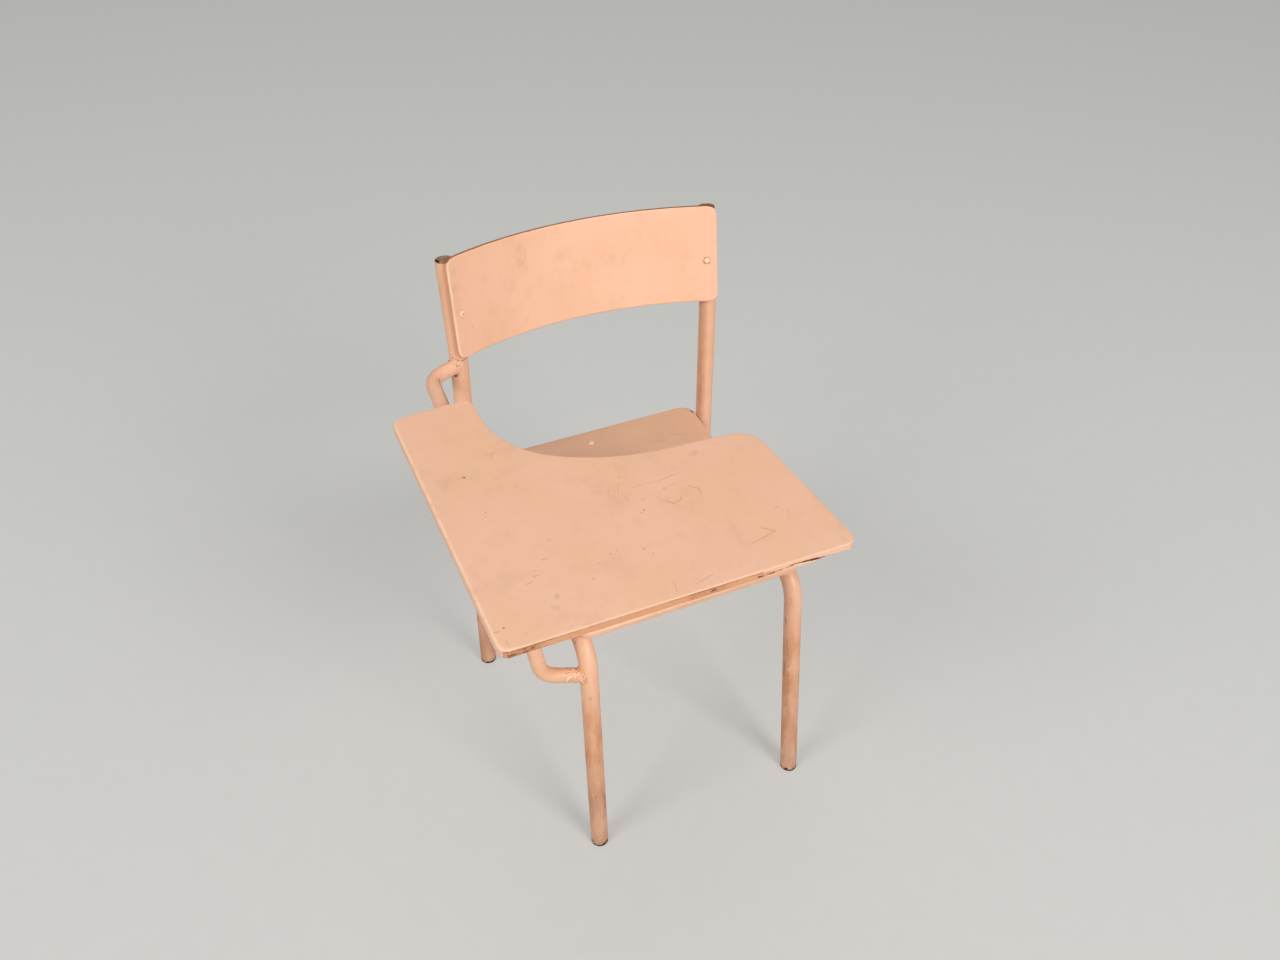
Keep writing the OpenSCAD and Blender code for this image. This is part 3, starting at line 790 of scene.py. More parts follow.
# %% [markdown]
# ### The writing tablet
#
# Its front edge is where forearms and bags have rubbed. Under a thin painted lip, for most of
# its length, the paint has worn off the wall and shows smooth tan plywood, browner towards the
# outer corner, where small chips are missing, and in one place halfway. Towards the inner
# corner the paint has stayed, but a glue line has opened into a dark crack that runs down to
# the lower edge, and the lowest ply has broken away under it. Each patch is one row, in mm:
# its start and end along the edge from the outer side, its lower limit at both, its upper
# limit at both, its depth, and what shows.

# %% Patches and wear of the tablet
TABLET_T = 12
PATCHES = [
    (4, 300, -1.0, -1.0, 10.4, 10.4, 0.25, "bare"),
    (290, 324, 0.6, 3.4, 9.0, 4.6, 0.25, "bare"),
    (8, 19, 0.5, 2.0, 6.0, 5.0, 0.7, "chip"),
    (25, 30, 6.4, 6.6, 9.0, 8.8, 0.7, "chip"),
    (24, 31, 1.0, 1.5, 4.2, 4.0, 0.6, "chip"),
    (33, 39, 3.4, 4.0, 7.0, 7.4, 0.4, "chip"),
    (43, 60, -1.0, -1.0, 1.6, 1.4, 0.5, "chip"),
    (236, 244, 3.8, 4.2, 8.4, 8.0, 0.4, "chip"),
    (294, 303, 2.2, 2.0, 4.6, 4.2, 1.2, "deep"),
    (306, 315, 1.8, 1.8, 4.2, 3.8, 1.3, "deep"),
    (320, 338, 4.2, 4.6, 5.2, 5.8, 0.9, "chip"),
    (333, 353, 5.8, 4.8, 7.6, 7.0, 1.4, "deep"),
    (348, 368, 4.0, 2.2, 7.0, 6.0, 2.2, "deep"),
    (361, 383, 1.8, 0.8, 6.2, 4.0, 2.6, "deep"),
    (377, 407, 0.0, -1.0, 3.8, 2.4, 2.2, "deep"),
    (368, 404, -2.0, -2.0, 1.6, 1.2, 3.2, "bare"),
]


def tablet_wear_and_light(point, h, out):
    facing_front = fit(0.6, 0.95, -out[1])
    x = (point[0] - tablet_low.x) / MM
    ragged = rough(point[0], 0.0, h * MM, 170) * 0.6 + rough(point[0], 5.0, h * MM, 600) * 0.3
    hurt_and_light = {"depth": 0.0, "bare": 0.0, "deep": 0.0, "chip": 0.0}
    paint_edge_shadow = 0.0
    for start, end, low, low_end, high, high_end, depth, kind in PATCHES:
        share = min(1.0, max(0.0, (x - start) / (end - start)))
        along = min(x - start, end - x) / 2.5
        floor_h, roof_h = low + (low_end - low) * share, high + (high_end - high) * share
        across = min(h - floor_h, roof_h - h) / (0.8 if kind == "bare" else 0.5)
        uneven = ragged * (0.6 if kind == "bare" else 1.4)
        cover = fit(-0.4, 0.5, min(along, across) + uneven - 0.2) * facing_front
        hurt_and_light["depth"] = max(hurt_and_light["depth"], depth * cover * (1 + ragged * 0.4))
        hurt_and_light[kind] = max(hurt_and_light[kind], cover)
        # Painted shadow: a dark line under the paint's edge, along the top of the bare band.
        if kind == "bare" and low > -2:
            line = fit(1.3, 0.3, abs(h - roof_h + 0.6)) * cover
            paint_edge_shadow = max(paint_edge_shadow, line * (0.5 + ragged * 0.4))
    # A darker line along the top rounding of the edges that face back.
    behind = fit(-0.2, 0.5, out[1])
    outer = fit(0.5, 0.9, -out[0])
    halfway = x + ragged * 6
    browner = fit(75, 30, x) + fit(196, 214, halfway) * fit(272, 250, halfway) * 0.8
    browner *= facing_front * fit(11, 9.5, h)
    hurt_and_light["stain_and_shade"] = behind * fit(11.6, 10.4, h) * 0.8 + browner * 0.5 + paint_edge_shadow
    # Painted highlight: a cream tone on the top rounding of the outer edge and the front corner, where
    # the side lamp catches them.
    lip = fit(2.6, 0.0, TABLET_T - h)
    corner = fit(26, 8, x) * facing_front
    hurt_and_light["rub"] = lip * max(outer * 0.75, corner * 0.7)
    hurt_and_light["depth"] += 0.1 + rough(point[0], point[1], h * MM, 90) * 0.1
    return hurt_and_light


# %% Tablet


def tablet_spacing(point, direction):
    """Points close together on the front edge, where the damage is."""
    return 0.0012 if direction[0] > 0.95 and point[1] < tablet_low.y + 0.03 else 0.0035


middle_height = (tablet_low.z + tablet_high.z) / 2
outline = resampled(outline_of("writing_tablet", middle_height), tablet_spacing)
crisp = (1.3, lambda out: fit(-0.9, -0.5, out[0]))
sizes = {"thick": TABLET_T, "top_r": 3.2, "low_r": 1.2, "wall": 26}
tablet = board("tablet_board", outline, wear_and_light=tablet_wear_and_light, crisp=crisp, **sizes)
tablet.data.transform(Matrix.Translation((0, 0, tablet_low.z)))

# %% [markdown]
# ### The seat
#
# The seat is a plain board. Its front edge is rounded more, and a painted highlight lies along its
# rounding. Its rear and side edges are brown, most of all in the slits beside the tubes, with dirt and
# with painted shade where seat and tube meet.

# %% Seat
SEAT_T = 10


def seat_wear_and_light(point, h, out):
    front = fit(0.4, 0.9, -out[1])
    wobble = rough(point[0], point[1], h * MM, 80)
    stain_and_shade = (1 - front) * (fit(9.8, 8.4, h) * 0.7 + fit(0.45, 0.6, wobble) * 0.3)
    chip = fit(0.5, 0.58, rough(point[0] * 1.3, point[1], h * MM, 120))
    chip *= fit(9.9, 8.5, h) * (1 - front)
    return {
        "depth": 0.1 + wobble * 0.1 + chip * 0.3,
        "chip": chip,
        "stain_and_shade": stain_and_shade,
        # painted highlight along the rounding of the front edge, where it catches the light
        "rub": fit(4.0, 0.0, SEAT_T - h) * front * 0.6,
    }


middle_height = (seat_low.z + seat_high.z) / 2
outline = resampled(outline_of("seat_panel", middle_height), lambda point, direction: 0.003)
crisp = (1.4, lambda out: fit(-0.5, 0.1, out[1]))
sizes = {"thick": SEAT_T, "top_r": 3.2, "low_r": 2.2, "wall": 7}
seat = board("seat_board", outline, wear_and_light=seat_wear_and_light, crisp=crisp, **sizes)
seat.data.transform(Matrix.Translation((0, 0, seat_low.z)))

# %% [markdown]
# ### The backrest
#
# The backrest is one sheet of thin plywood bent to an arc. It is made flat, cut into narrow
# strips so that it can bend, and each point is then carried onto the arc and leaned back with
# the uprights. Its upper edge has lost most of its paint and is brown.

# %% Shape and wear of the backrest
BACK_W, BACK_H, BACK_T = 390, 142, 8.5
BACK_R = 397
BACK_LIFT = 2
BACK_CORNER = 10
arc_centre = -math.sqrt((BACK_R + BACK_T + TUBE_R) ** 2 - UPRIGHT_X**2)


def rounded_rectangle(width, height, radius):
    """Corner arcs of a rectangle centred on x = 0, from y = 0 up, anticlockwise, in metres."""
    points = []
    for turn, x, y in ((270, 1, 0), (0, 1, 1), (90, -1, 1), (180, -1, 0)):
        centre = (x * (width / 2 - radius), radius + y * (height - 2 * radius))
        for angle in np.radians(np.linspace(turn, turn + 90, 9)):
            across, up = radius * math.cos(angle), radius * math.sin(angle)
            points.append((centre[0] + across, centre[1] + up))
    return np.array(points) * MM


def back_wear_and_light(point, h, out):
    up, end = fit(0.3, 0.8, out[1]), fit(0.3, 0.8, abs(out[0]))
    left_end = fit(-0.02, 0.16, point[0])
    wobble = rough(point[0], point[1], h * MM, 85)
    wall = fit(BACK_T - 0.2, BACK_T - 1.6, h)
    chip = fit(0.42, 0.5, rough(point[0], point[1] * 2, h * MM, 130)) * wall * up
    return {
        "depth": 0.08 + wobble * 0.1 + chip * 0.4,
        "chip": max(chip, up * wall * left_end * 0.55),
        "stain_and_shade": wall * max(up * (0.85 + wobble * 0.3), end * left_end * 0.8, (1 - up - end) * 0.3),
        # painted highlight along the front rounding of the end on the sitter's right
        "rub": fit(3.0, 0.0, BACK_T - h) * end * 0.9 * (1 - left_end),
    }


def leaned(x, y, height):
    """A place on the upright backrest, in mm, leaned back with the uprights about their bend."""
    cos, sin = math.cos(BACK_LEAN), math.sin(BACK_LEAN)
    root = upright_bend(LEFT)
    back, up = (y * cos + height * sin) * MM, (height * cos - y * sin) * MM
    return Vector((MIDDLE + x * MM, root.y + back, root.z + up))


def onto_arc(flat):
    """A point of the flat panel carried onto the arc, and leaned back."""
    radius, x = BACK_R + BACK_T - flat.z / MM, flat.x / MM
    return leaned(x, arc_centre + math.sqrt(radius**2 - x**2), BACK_LIFT + flat.y / MM)


# %% Backrest
flat_outline = rounded_rectangle(BACK_W, BACK_H, BACK_CORNER)
outline = resampled(flat_outline, lambda point, direction: 0.003)
crisp = (1.1, lambda out: fit(0.2, 0.7, out[1]))
sizes = {"thick": BACK_T, "top_r": 2.4, "low_r": 3.4, "wall": 7}
backrest = board("backrest_board", outline, wear_and_light=back_wear_and_light, crisp=crisp, **sizes)
strips = bmesh.new()
strips.from_mesh(backrest.data)
STRIP = 6
for x in np.arange(-BACK_W / 2 + 14, BACK_W / 2 - 13, STRIP):
    everything = strips.verts[:] + strips.edges[:] + strips.faces[:]
    bmesh.ops.bisect_plane(
        strips, geom=everything, dist=1e-5, plane_co=(x * MM, 0, 0), plane_no=(1, 0, 0)
    )
for vert in strips.verts:
    vert.co = onto_arc(vert.co)
strips.to_mesh(backrest.data)
strips.free()
print("backrest", len(backrest.data.polygons), "faces")

# %% [markdown]
# ## Turned parts
#
# The caps on the uprights, the glides under the feet and the heads of the rivets and screws
# are round, so each is a profile turned about an axis. The glides are cut level by the floor,
# so their rings stay level while their centres follow the leaning legs.

# %% Turning


def turned(name, rings, steps, ring_centre):
    """A closed solid from (radius, height) rings in mm. ring_centre(height) gives a matrix."""
    mesh = bmesh.new()
    loops = []
    for radius, height in rings:
        matrix = ring_centre(height)
        if radius == 0:
            loops.append([mesh.verts.new(matrix @ Vector((0, 0, 0)))])
            continue
        angles = [math.tau * i / steps for i in range(steps)]
        rim = [Vector((math.cos(a), math.sin(a), 0)) * radius * MM for a in angles]
        loops.append([mesh.verts.new(matrix @ point) for point in rim])
    for lower, upper in zip(loops[:-1], loops[1:]):
        for i in range(steps):
            j = (i + 1) % steps
            corners = [lower[i % len(lower)], lower[j % len(lower)]]
            corners += [upper[j % len(upper)], upper[i % len(upper)]]
            mesh.faces.new(list(dict.fromkeys(corners)))
    bmesh.ops.recalc_face_normals(mesh, faces=mesh.faces[:])
    data = bpy.data.meshes.new(name)
    mesh.to_mesh(data)
    mesh.free()
    data.shade_smooth()
    data.set_sharp_from_angle(angle=math.radians(50))
    piece = bpy.data.objects.new(name, data)
    bpy.context.collection.objects.link(piece)
    return piece


def standing(root, direction):
    """Ring centres along a direction from a root point, with level turned into the axis."""
    turn = direction.to_track_quat("Z", "Y").to_matrix().to_4x4()
    return lambda height: Matrix.Translation(root + direction.normalized() * height * MM) @ turn


# %% Caps on the uprights
CAP_PROFILE = [
    (0, 0), (12.4, 0), (12.5, 0.5), (12.45, 1.6), (11.9, 2.4), (10.8, 2.85), (6, 2.95), (0, 2.95),
]
UPRIGHT_LENGTH = 135


def worn_cap(name, side, chip_angle, chip_size):
    """A cap with an uneven rim and one piece broken out of it."""
    top = along_upright(side, UPRIGHT_LENGTH)
    axis = (top - upright_bend(side)).normalized()
    cap = turned(name, CAP_PROFILE, 48, standing(top, axis))
    broken = cap.data.attributes.new("deep", "FLOAT", "POINT")
    for index, vert in enumerate(cap.data.vertices):
        out = vert.co - top
        out -= axis * out.dot(axis)
        angle = math.degrees(math.atan2(out.y, out.x)) - chip_angle
        angle = abs((angle + 180) % 360 - 180)
        bite = fit(chip_size, chip_size * 0.6, angle) * fit(0.009, 0.012, out.length)
        wobble = rough(*vert.co, 300) * 0.25 * MM
        vert.co -= out.normalized() * (bite * 1.6 * MM + abs(wobble))
        broken.data[index].value = bite
    return cap


caps = {
    "upright_cap_right": worn_cap("cap_right", RIGHT, 195, 34),
    "upright_cap_left": worn_cap("cap_left", LEFT, 60, 16),
}

# %% Glides under the feet
GLIDE_PROFILE = [
    (0, 0), (11.2, 0), (12.0, 0.35), (12.45, 1.2), (12.5, 3.0), (10.5, 3.0), (0, 3.0),
]


def worn_glide(name, foot, top):
    """A thin black foot, level at the floor, a little rounded and worn at its lower rim."""
    return turned(name, GLIDE_PROFILE, 40, lambda h: Matrix.Translation(at_height(foot, top, h)))


glides = {}
for word, side in (("right", RIGHT), ("left", LEFT)):
    for row, foot, top in (("front", front_foot, front_top), ("rear", rear_foot, upright_bend)):
        glide = worn_glide(f"foot_{row}_{word}", foot(side), top(side))
        glides[f"glide_{row}_{word}"] = glide
print("caps", len(caps), "glides", len(glides))

# %% [markdown]
# ## Fasteners with Geometry Nodes
#
# The rivets and screws repeat, so Geometry Nodes place them. A set of points carries the
# direction that each head faces. The tree puts a head on each point, turns it to face that
# way, spins it about its own axis by a random angle and varies its size a little, as on a
# chair riveted by hand. The tree ends by realizing the heads and giving them their finish.

# %% A geometry tree's frame


def geometry_tree(name, inputs):
    """An empty Geometry Nodes tree with named inputs, and the wires of those inputs."""
    group = bpy.data.node_groups.new(name, "GeometryNodeTree")
    group.interface.new_socket("Geometry", in_out="INPUT", socket_type="NodeSocketGeometry")
    for label, kind in inputs:
        group.interface.new_socket(label, in_out="INPUT", socket_type=f"NodeSocket{kind}")
    group.interface.new_socket("Geometry", in_out="OUTPUT", socket_type="NodeSocketGeometry")
    tree = Tree(group)
    start = group.nodes.new("NodeGroupInput")
    wires = {socket.name: Wire(tree, socket) for socket in start.outputs if socket.name}
    return tree, wires


def close_tree(tree, geometry, material):
    """Ends a tree: instances made real, smooth shading, and the finish."""
    real = tree.make("GeometryNodeRealizeInstances", None, {0: geometry})
    smooth = tree.make("GeometryNodeSetShadeSmooth", None, {"Geometry": real})
    values = {"Geometry": smooth, "Material": material}
    painted = tree.make("GeometryNodeSetMaterial", None, values)
    tree.make("NodeGroupOutput", None, {0: painted})
    return tree.nodes


def grown(name, source, group, inputs):
    """The plain mesh that a tree makes of a source object, as a new piece."""
    modifier = source.modifiers.new("grow", "NODES")
    modifier.node_group = group
    for socket in group.interface.items_tree:
        if socket.in_out == "INPUT" and socket.name in inputs:
            modifier[socket.identifier] = inputs[socket.name]
    bpy.context.view_layer.update()
    depsgraph = bpy.context.evaluated_depsgraph_get()
    mesh = bpy.data.meshes.new_from_object(source.evaluated_get(depsgraph))
    mesh.name = name
    bpy.data.objects.remove(source)
    piece = bpy.data.objects.new(name, mesh)
    bpy.context.collection.objects.link(piece)
    print(name, len(mesh.polygons), "faces")
    return piece


# %% Points that face a way, and pieces set on them


def facing_mesh(name, points, edges, ways):
    """A mesh of points and edges, each point with the direction that its piece faces."""
    mesh = bpy.data.meshes.new(name)
    mesh.from_pydata(points, edges, [])
    layer = mesh.attributes.new("facing", "FLOAT_VECTOR", "POINT")
    layer.data.foreach_set("vector", np.array([tuple(way) for way in ways], np.float32).ravel())
    source = bpy.data.objects.new(name, mesh)
    bpy.context.collection.objects.link(source)
    return source


def set_on_points(tree, wires, shape, low_turn, high_turn, sizes, chosen):
    """Instances of a shape on points, turned to face each point's way, then turned and scaled.

    chosen holds the points, and where only some are used, which ones.
    """
    settings = {"data_type": "FLOAT_VECTOR"}
    facing = tree.make("GeometryNodeInputNamedAttribute", settings, {"Name": "facing"})
    aim = tree.make("FunctionNodeAlignRotationToVector", {"axis": "Z"}, {"Vector": facing})
    values = {"Min": low_turn, "Max": high_turn, "Seed": wires["Seed"]}
    spin = tree.make("FunctionNodeRandomValue", settings, values)
    turn = tree.make("FunctionNodeRotateRotation", {"rotation_space": "LOCAL"}, {0: aim, 1: spin})
    values = {2: sizes[0], 3: sizes[1], "Seed": wires["Seed"]}
    size = tree.make("FunctionNodeRandomValue", {"data_type": "FLOAT"}, values, out=1)
    found = tree.make("GeometryNodeObjectInfo", None, {"Object": shape}, out="Geometry")
    values = {"Instance": found, "Rotation": turn, "Scale": size, **chosen}
    return tree.make("GeometryNodeInstanceOnPoints", None, values)


# %% The fastener tree


def fastener_tree():
    inputs = [("Head", "Object"), ("Seed", "Int"), ("Size change", "Float"), ("Finish", "Material")]
    tree, wires = geometry_tree("fasteners", inputs)
    points = tree.make("GeometryNodeMeshToPoints", None, {"Mesh": wires["Geometry"]})
    sizes = (1 - wires["Size change"], 1 + wires["Size change"])
    full_turn = (0, 0, math.tau)
    chosen = {"Points": points}
    heads = set_on_points(tree, wires, wires["Head"], (0, 0, 0), full_turn, sizes, chosen)
    return close_tree(tree, heads, wires["Finish"])


FASTENERS = fastener_tree()


def fastened(name, shape, rows, seed, change, finish):
    """One piece: a copy of the shape at each (point, direction) of the rows."""
    source = facing_mesh(name + "_points", [point for point, _ in rows], [], [way for _, way in rows])
    inputs = {"Head": shape, "Seed": seed, "Size change": change, "Finish": finish}
    piece = grown(name, source, FASTENERS, inputs)
    bpy.data.objects.remove(shape)
    return piece


# %% Finishes of the fasteners, caps and glides
CAP_BREAK = linear(30, 24, 22)


def worn_metal(name, main, spot_tone, roughness, metallic=0.0):
    """A small part's finish: a main tone with patches of a second one, and dark pits."""
    surface = Surface(name)
    patches = surface.noise(420, 3).ramp(0.48, 0.62)
    pits = surface.noise(1100, 2).ramp(0.66, 0.74)
    colour = surface.mix(patches, main, spot_tone)
    colour = surface.mix(pits * 0.7, colour, DARK)
    relief = surface.noise(800, 3) - pits * 0.5
    return surface.finish(colour, roughness + patches * 0.15, relief, METAL_RELIEF, metallic)


def cap_finish(name, dark, light, scraps_share):
    """Brown cap with rubbed scraps of paint and a black break."""
    surface = Surface(name)
    cloud = surface.noise(130, 4)
    colour = surface.mix(cloud.ramp(0.35, 0.65), dark, light)
    scraps = surface.noise(260, 3).ramp(0.6, 0.66) * scraps_share
    colour = surface.mix(scraps, colour, PEACH)
    pits = surface.noise(700, 2).ramp(0.64, 0.72)
    colour = surface.mix(pits * 0.5, colour, DARK)
    deep = (surface.attribute("deep") + (surface.noise(500, 2) - 0.5) * 0.3).ramp(0.3, 0.5)
    colour = surface.mix(deep, colour, CAP_BREAK)
    relief = cloud * 0.4 + scraps * 0.4
    return surface.finish(colour, 0.6 + cloud * 0.15, relief, PAINT_RELIEF)


ZINC, ZINC_STAIN = linear(158, 150, 140), linear(104, 84, 68)
RUBBER, RUBBER_DUST = linear(34, 31, 30), linear(62, 54, 48)
BROWN, PALE_BROWN = linear(150, 108, 82), linear(176, 136, 108)
RED_BROWN, PALE_RED = linear(128, 70, 44), linear(164, 98, 64)
screw_steel = worn_metal("screw_steel", ZINC, ZINC_STAIN, 0.4, 0.85)
glide_rubber = worn_metal("glide_rubber", RUBBER, RUBBER_DUST, 0.8)
cap_finishes = {
    "upright_cap_right": cap_finish("cap_brown", BROWN, PALE_BROWN, 0.5),
    "upright_cap_left": cap_finish("cap_red_brown", RED_BROWN, PALE_RED, 0.15),
}
print("finishes", screw_steel.name, glide_rubber.name, *(m.name for m in cap_finishes.values()))

# %% [markdown]
# A rivet's head is a low dome with a small pit in its middle, and its tail is a shallower dome on the
# far side of the tube. Their paint has worn to a cream tone. Round the head at the backrest's left
# end, the head's rim and the panel are darker, with dirt and with painted shade in the gap round the
# head, and the other end's pit is dark and off centre.

# %% Rivet profiles and places
RIVET_HEAD = [
    (0, -0.15), (4.7, -0.15), (5.0, 0.25), (4.85, 0.85), (4.2, 1.5), (3.0, 1.95), (1.9, 2.15),
    (1.35, 2.05), (1.05, 1.5), (0.6, 1.3), (0, 1.25),
]
RIVET_TAIL = [(0, -2.0), (2.2, -1.95), (3.3, -1.6), (3.95, -0.9), (4.0, 0.1), (0, 0.1)]
RIVET_GRIP = SEAT_TOP - RAIL_H + TUBE_R
RIVET_UP = 63
RIVET_CREAM, RIVET_TAN = linear(246, 216, 174), linear(230, 186, 146)
RIVET_RING, RIVET_PIT = linear(178, 124, 88), linear(96, 60, 40)


def back_rivet_places(side):
    """Head and tail of a backrest rivet, and the way that the head faces."""
    angle = side * math.asin(UPRIGHT_X / (BACK_R + BACK_T + TUBE_R))

    def on_ray(radius):
        y = arc_centre + radius * math.cos(angle)
        return leaned(radius * math.sin(angle), y, RIVET_UP + BACK_LIFT)

    head = on_ray(BACK_R + 0.1)
    tail = on_ray(BACK_R + BACK_T + 2 * TUBE_R)
    return head, tail, (head - tail).normalized()


UP = Vector((0, 0, 1))
seat_rivets = [place(x, y, SEAT_TOP) for x, y in ((0, BAR_Y), (156.4, 120), (-156.4, 120))]
heads = [(point, UP) for point in seat_rivets]
tails = [(point - UP * RIVET_GRIP * MM, -UP) for point in seat_rivets]
for side in (RIGHT, LEFT):
    head_at, tail_at, way = back_rivet_places(side)
    heads.append((head_at, way))
    tails.append((tail_at, -way))


# %% Rivet finish


def rivet_finish():
    """Cream paint on a worn head, with a dark pit in each head of the backrest."""
    surface = Surface("rivet_paint")
    patches = surface.noise(420, 3).ramp(0.48, 0.62)
    colour = surface.mix(patches * 0.5, RIVET_CREAM, RIVET_TAN)
    spot = wobbled(surface, 0.4, 400)
    right, left = heads[-2][0], heads[-1][0]
    pit = spot_mark(surface, spot, right + Vector((0.0009, 0, 0.0002)), 1.6, soft=0.4)
    pit = pit.most(spot_mark(surface, spot, left, 1.1, soft=0.4))
    # At the left end, a broken brownish ring on the rim of the head: dirt, and painted shade where the
    # rounded rim meets the panel.
    ring = vector_sum(surface, "DISTANCE", spot, left, "Value")
    near_left = ring.ramp(0.02, 0.01)
    crescent = ring.ramp(0.0034, 0.0042) * near_left * surface.noise(260, 2).ramp(0.45, 0.55)
    colour = surface.mix(crescent, colour, RIVET_RING)
    colour = surface.mix(pit, colour, RIVET_PIT)
    relief = surface.noise(800, 3) - pit * 2
    return surface.finish(colour, 0.4 + patches * 0.15, relief, METAL_RELIEF)


# %% Rivets, grown


def upright_at(height):
    """The ring centre at a height of a profile that stands on the origin."""
    return Matrix.Translation((0, 0, height * MM))


rivet_paint = rivet_finish()
rivet_head = turned("rivet_head_shape", RIVET_HEAD, 32, upright_at)
rivet_heads = fastened("rivet_heads", rivet_head, heads, 4, 0.02, rivet_paint)
rivet_tail = turned("rivet_tail_shape", RIVET_TAIL, 32, upright_at)
rivet_tails = fastened("rivet_tails", rivet_tail, tails, 4, 0.02, rivet_paint)

# %% Finishes of the panels
# The seat's paint is a little darker than the tablet's: partly a browner tone, partly painted shade,
# as the tablet and the backrest shade the seat. The backrest's paint is lighter: painted light, where
# the lamps fall full on the upright panel.
SEAT_PINK_SHADED, SEAT_TAN_SHADED = linear(233, 183, 152), linear(229, 180, 145)
BACK_PINK_LIT, BACK_TAN_LIT = linear(246, 194, 163), linear(243, 191, 157)
tablet_paint = painted_board("tablet_paint", tablet_marks, 0.35)
seat_paint = painted_board("seat_paint", seat_marks, 0.3, SEAT_PINK_SHADED, SEAT_TAN_SHADED)
backrest_paint = painted_board("backrest_paint", back_marks, 0.15, BACK_PINK_LIT, BACK_TAN_LIT)
print("panel finishes", tablet_paint.name, seat_paint.name, backrest_paint.name)

# %% [markdown]
# The screws that hold the tablet are driven from below through the support tube. Their pan
# heads have a cross recess, cut out of the turned head with a thin cross.

# %% Screws
SCREW_HEAD = [(0, -0.1), (3.4, -0.1), (3.9, 0.4), (3.95, 1.2), (3.6, 2.0), (2.6, 2.5), (0, 2.6)]
RECESS = Matrix.Diagonal((4.2 * MM, 0.8 * MM, 2.4 * MM, 1))


def cross_head():
    """The screw head with its cross recess."""
    head = turned("screw_shape", SCREW_HEAD, 32, upright_at)
    for turn in (0, 90):
        bpy.ops.mesh.primitive_cube_add(size=1)
        blade = bpy.context.object
        blade.data.transform(Matrix.Rotation(math.radians(turn), 4, "Z") @ upright_at(2.3) @ RECESS)
        cut = head.modifiers.new("recess", "BOOLEAN")
        cut.operation = "DIFFERENCE"
        cut.object = blade
        cut.solver = "EXACT"
        depsgraph = bpy.context.evaluated_depsgraph_get()
        head.data = bpy.data.meshes.new_from_object(head.evaluated_get(depsgraph))
        head.modifiers.clear()
        bpy.data.objects.remove(blade)
    return head


ARM_LEVEL = 592
ARM_REAR = place(-237, 336, ARM_LEVEL)
ARM_FRONT = place(-254, 1, ARM_LEVEL)
screw_points = []
for y in (60, 125, 190):
    share = (FRONT + y * MM - ARM_REAR.y) / (ARM_FRONT.y - ARM_REAR.y)
    screw_points.append((ARM_REAR.lerp(ARM_FRONT, share) - UP * ARM_R * MM, -UP))
screws = fastened("tablet_screws", cross_head(), screw_points, 9, 0.01, screw_steel)

# %% [markdown]
# ## Weld beads
#
# Every tube end was welded all round to the tube that it meets. A bead follows the curve in
# which two cylinders cross. The curve is worked out for each joint: a point goes round the
# ending tube and slides along it until it lies on the other tube's surface. Geometry Nodes
# sweep a round section along the curve and swell and pinch it, as the welder's hand did.

# %% Where the tubes meet
RAIL_INSET = 30.5
ARM_END_UP = 323
ARM_DROP = place(-217, -4, 345)


def joint_curve(end, inner, radius, main_a, main_b, main_radius, steps=96):
    """The closed curve where a tube that ends at end meets the tube through main_a, main_b."""
    axis = (end - inner).normalized()
    side = axis.orthogonal().normalized()
    other = axis.cross(side)
    main = (main_b - main_a).normalized()
    across = axis - main * axis.dot(main)
    points = []
    for i in range(steps):
        angle = math.tau * i / steps
        start = end + (side * math.cos(angle) + other * math.sin(angle)) * radius * MM
        off = start - main_a
        off -= main * off.dot(main)
        a, b, c = across.dot(across), 2 * off.dot(across), off.dot(off) - (main_radius * MM) ** 2
        slide = (-b - math.sqrt(max(0.0, b * b - 4 * a * c))) / (2 * a)
        points.append(start + axis * slide)
    return points


def bar_end(side):
    return at_height(rear_foot(side), upright_bend(side), RAIL_H)


def rail_end(side):
    return bar_end(side) - Vector((side * RAIL_INSET * MM, 0, 0))


joints = []
for side in (RIGHT, LEFT):
    rear = (rear_foot(side), upright_bend(side), TUBE_R)
    joints.append((bar_end(side), bar_end(-side), TUBE_R, *rear))
    rail = (front_top(side), rail_end(side))
    joints.append((rail[1], rail[0], TUBE_R, bar_end(RIGHT), bar_end(LEFT), TUBE_R))
    share = (FRONT + FRONT_BAR_Y * MM - rail[0].y) / (rail[1].y - rail[0].y)
    bar = rail[0].lerp(rail[1], share)
    joints.append((bar, Vector((MIDDLE, bar.y, bar.z)), ARM_R, *rail, TUBE_R))
arm_start = at_height(rear_foot(RIGHT), upright_bend(RIGHT), ARM_LEVEL)
arm_finish = at_height(front_foot(RIGHT), front_top(RIGHT), ARM_END_UP)
joints.append((arm_start, ARM_REAR, ARM_R, rear_foot(RIGHT), upright_bend(RIGHT), TUBE_R))
joints.append((arm_finish, ARM_DROP, ARM_R, front_foot(RIGHT), front_top(RIGHT), TUBE_R))
print("welded joints", len(joints))

# %% The bead tree


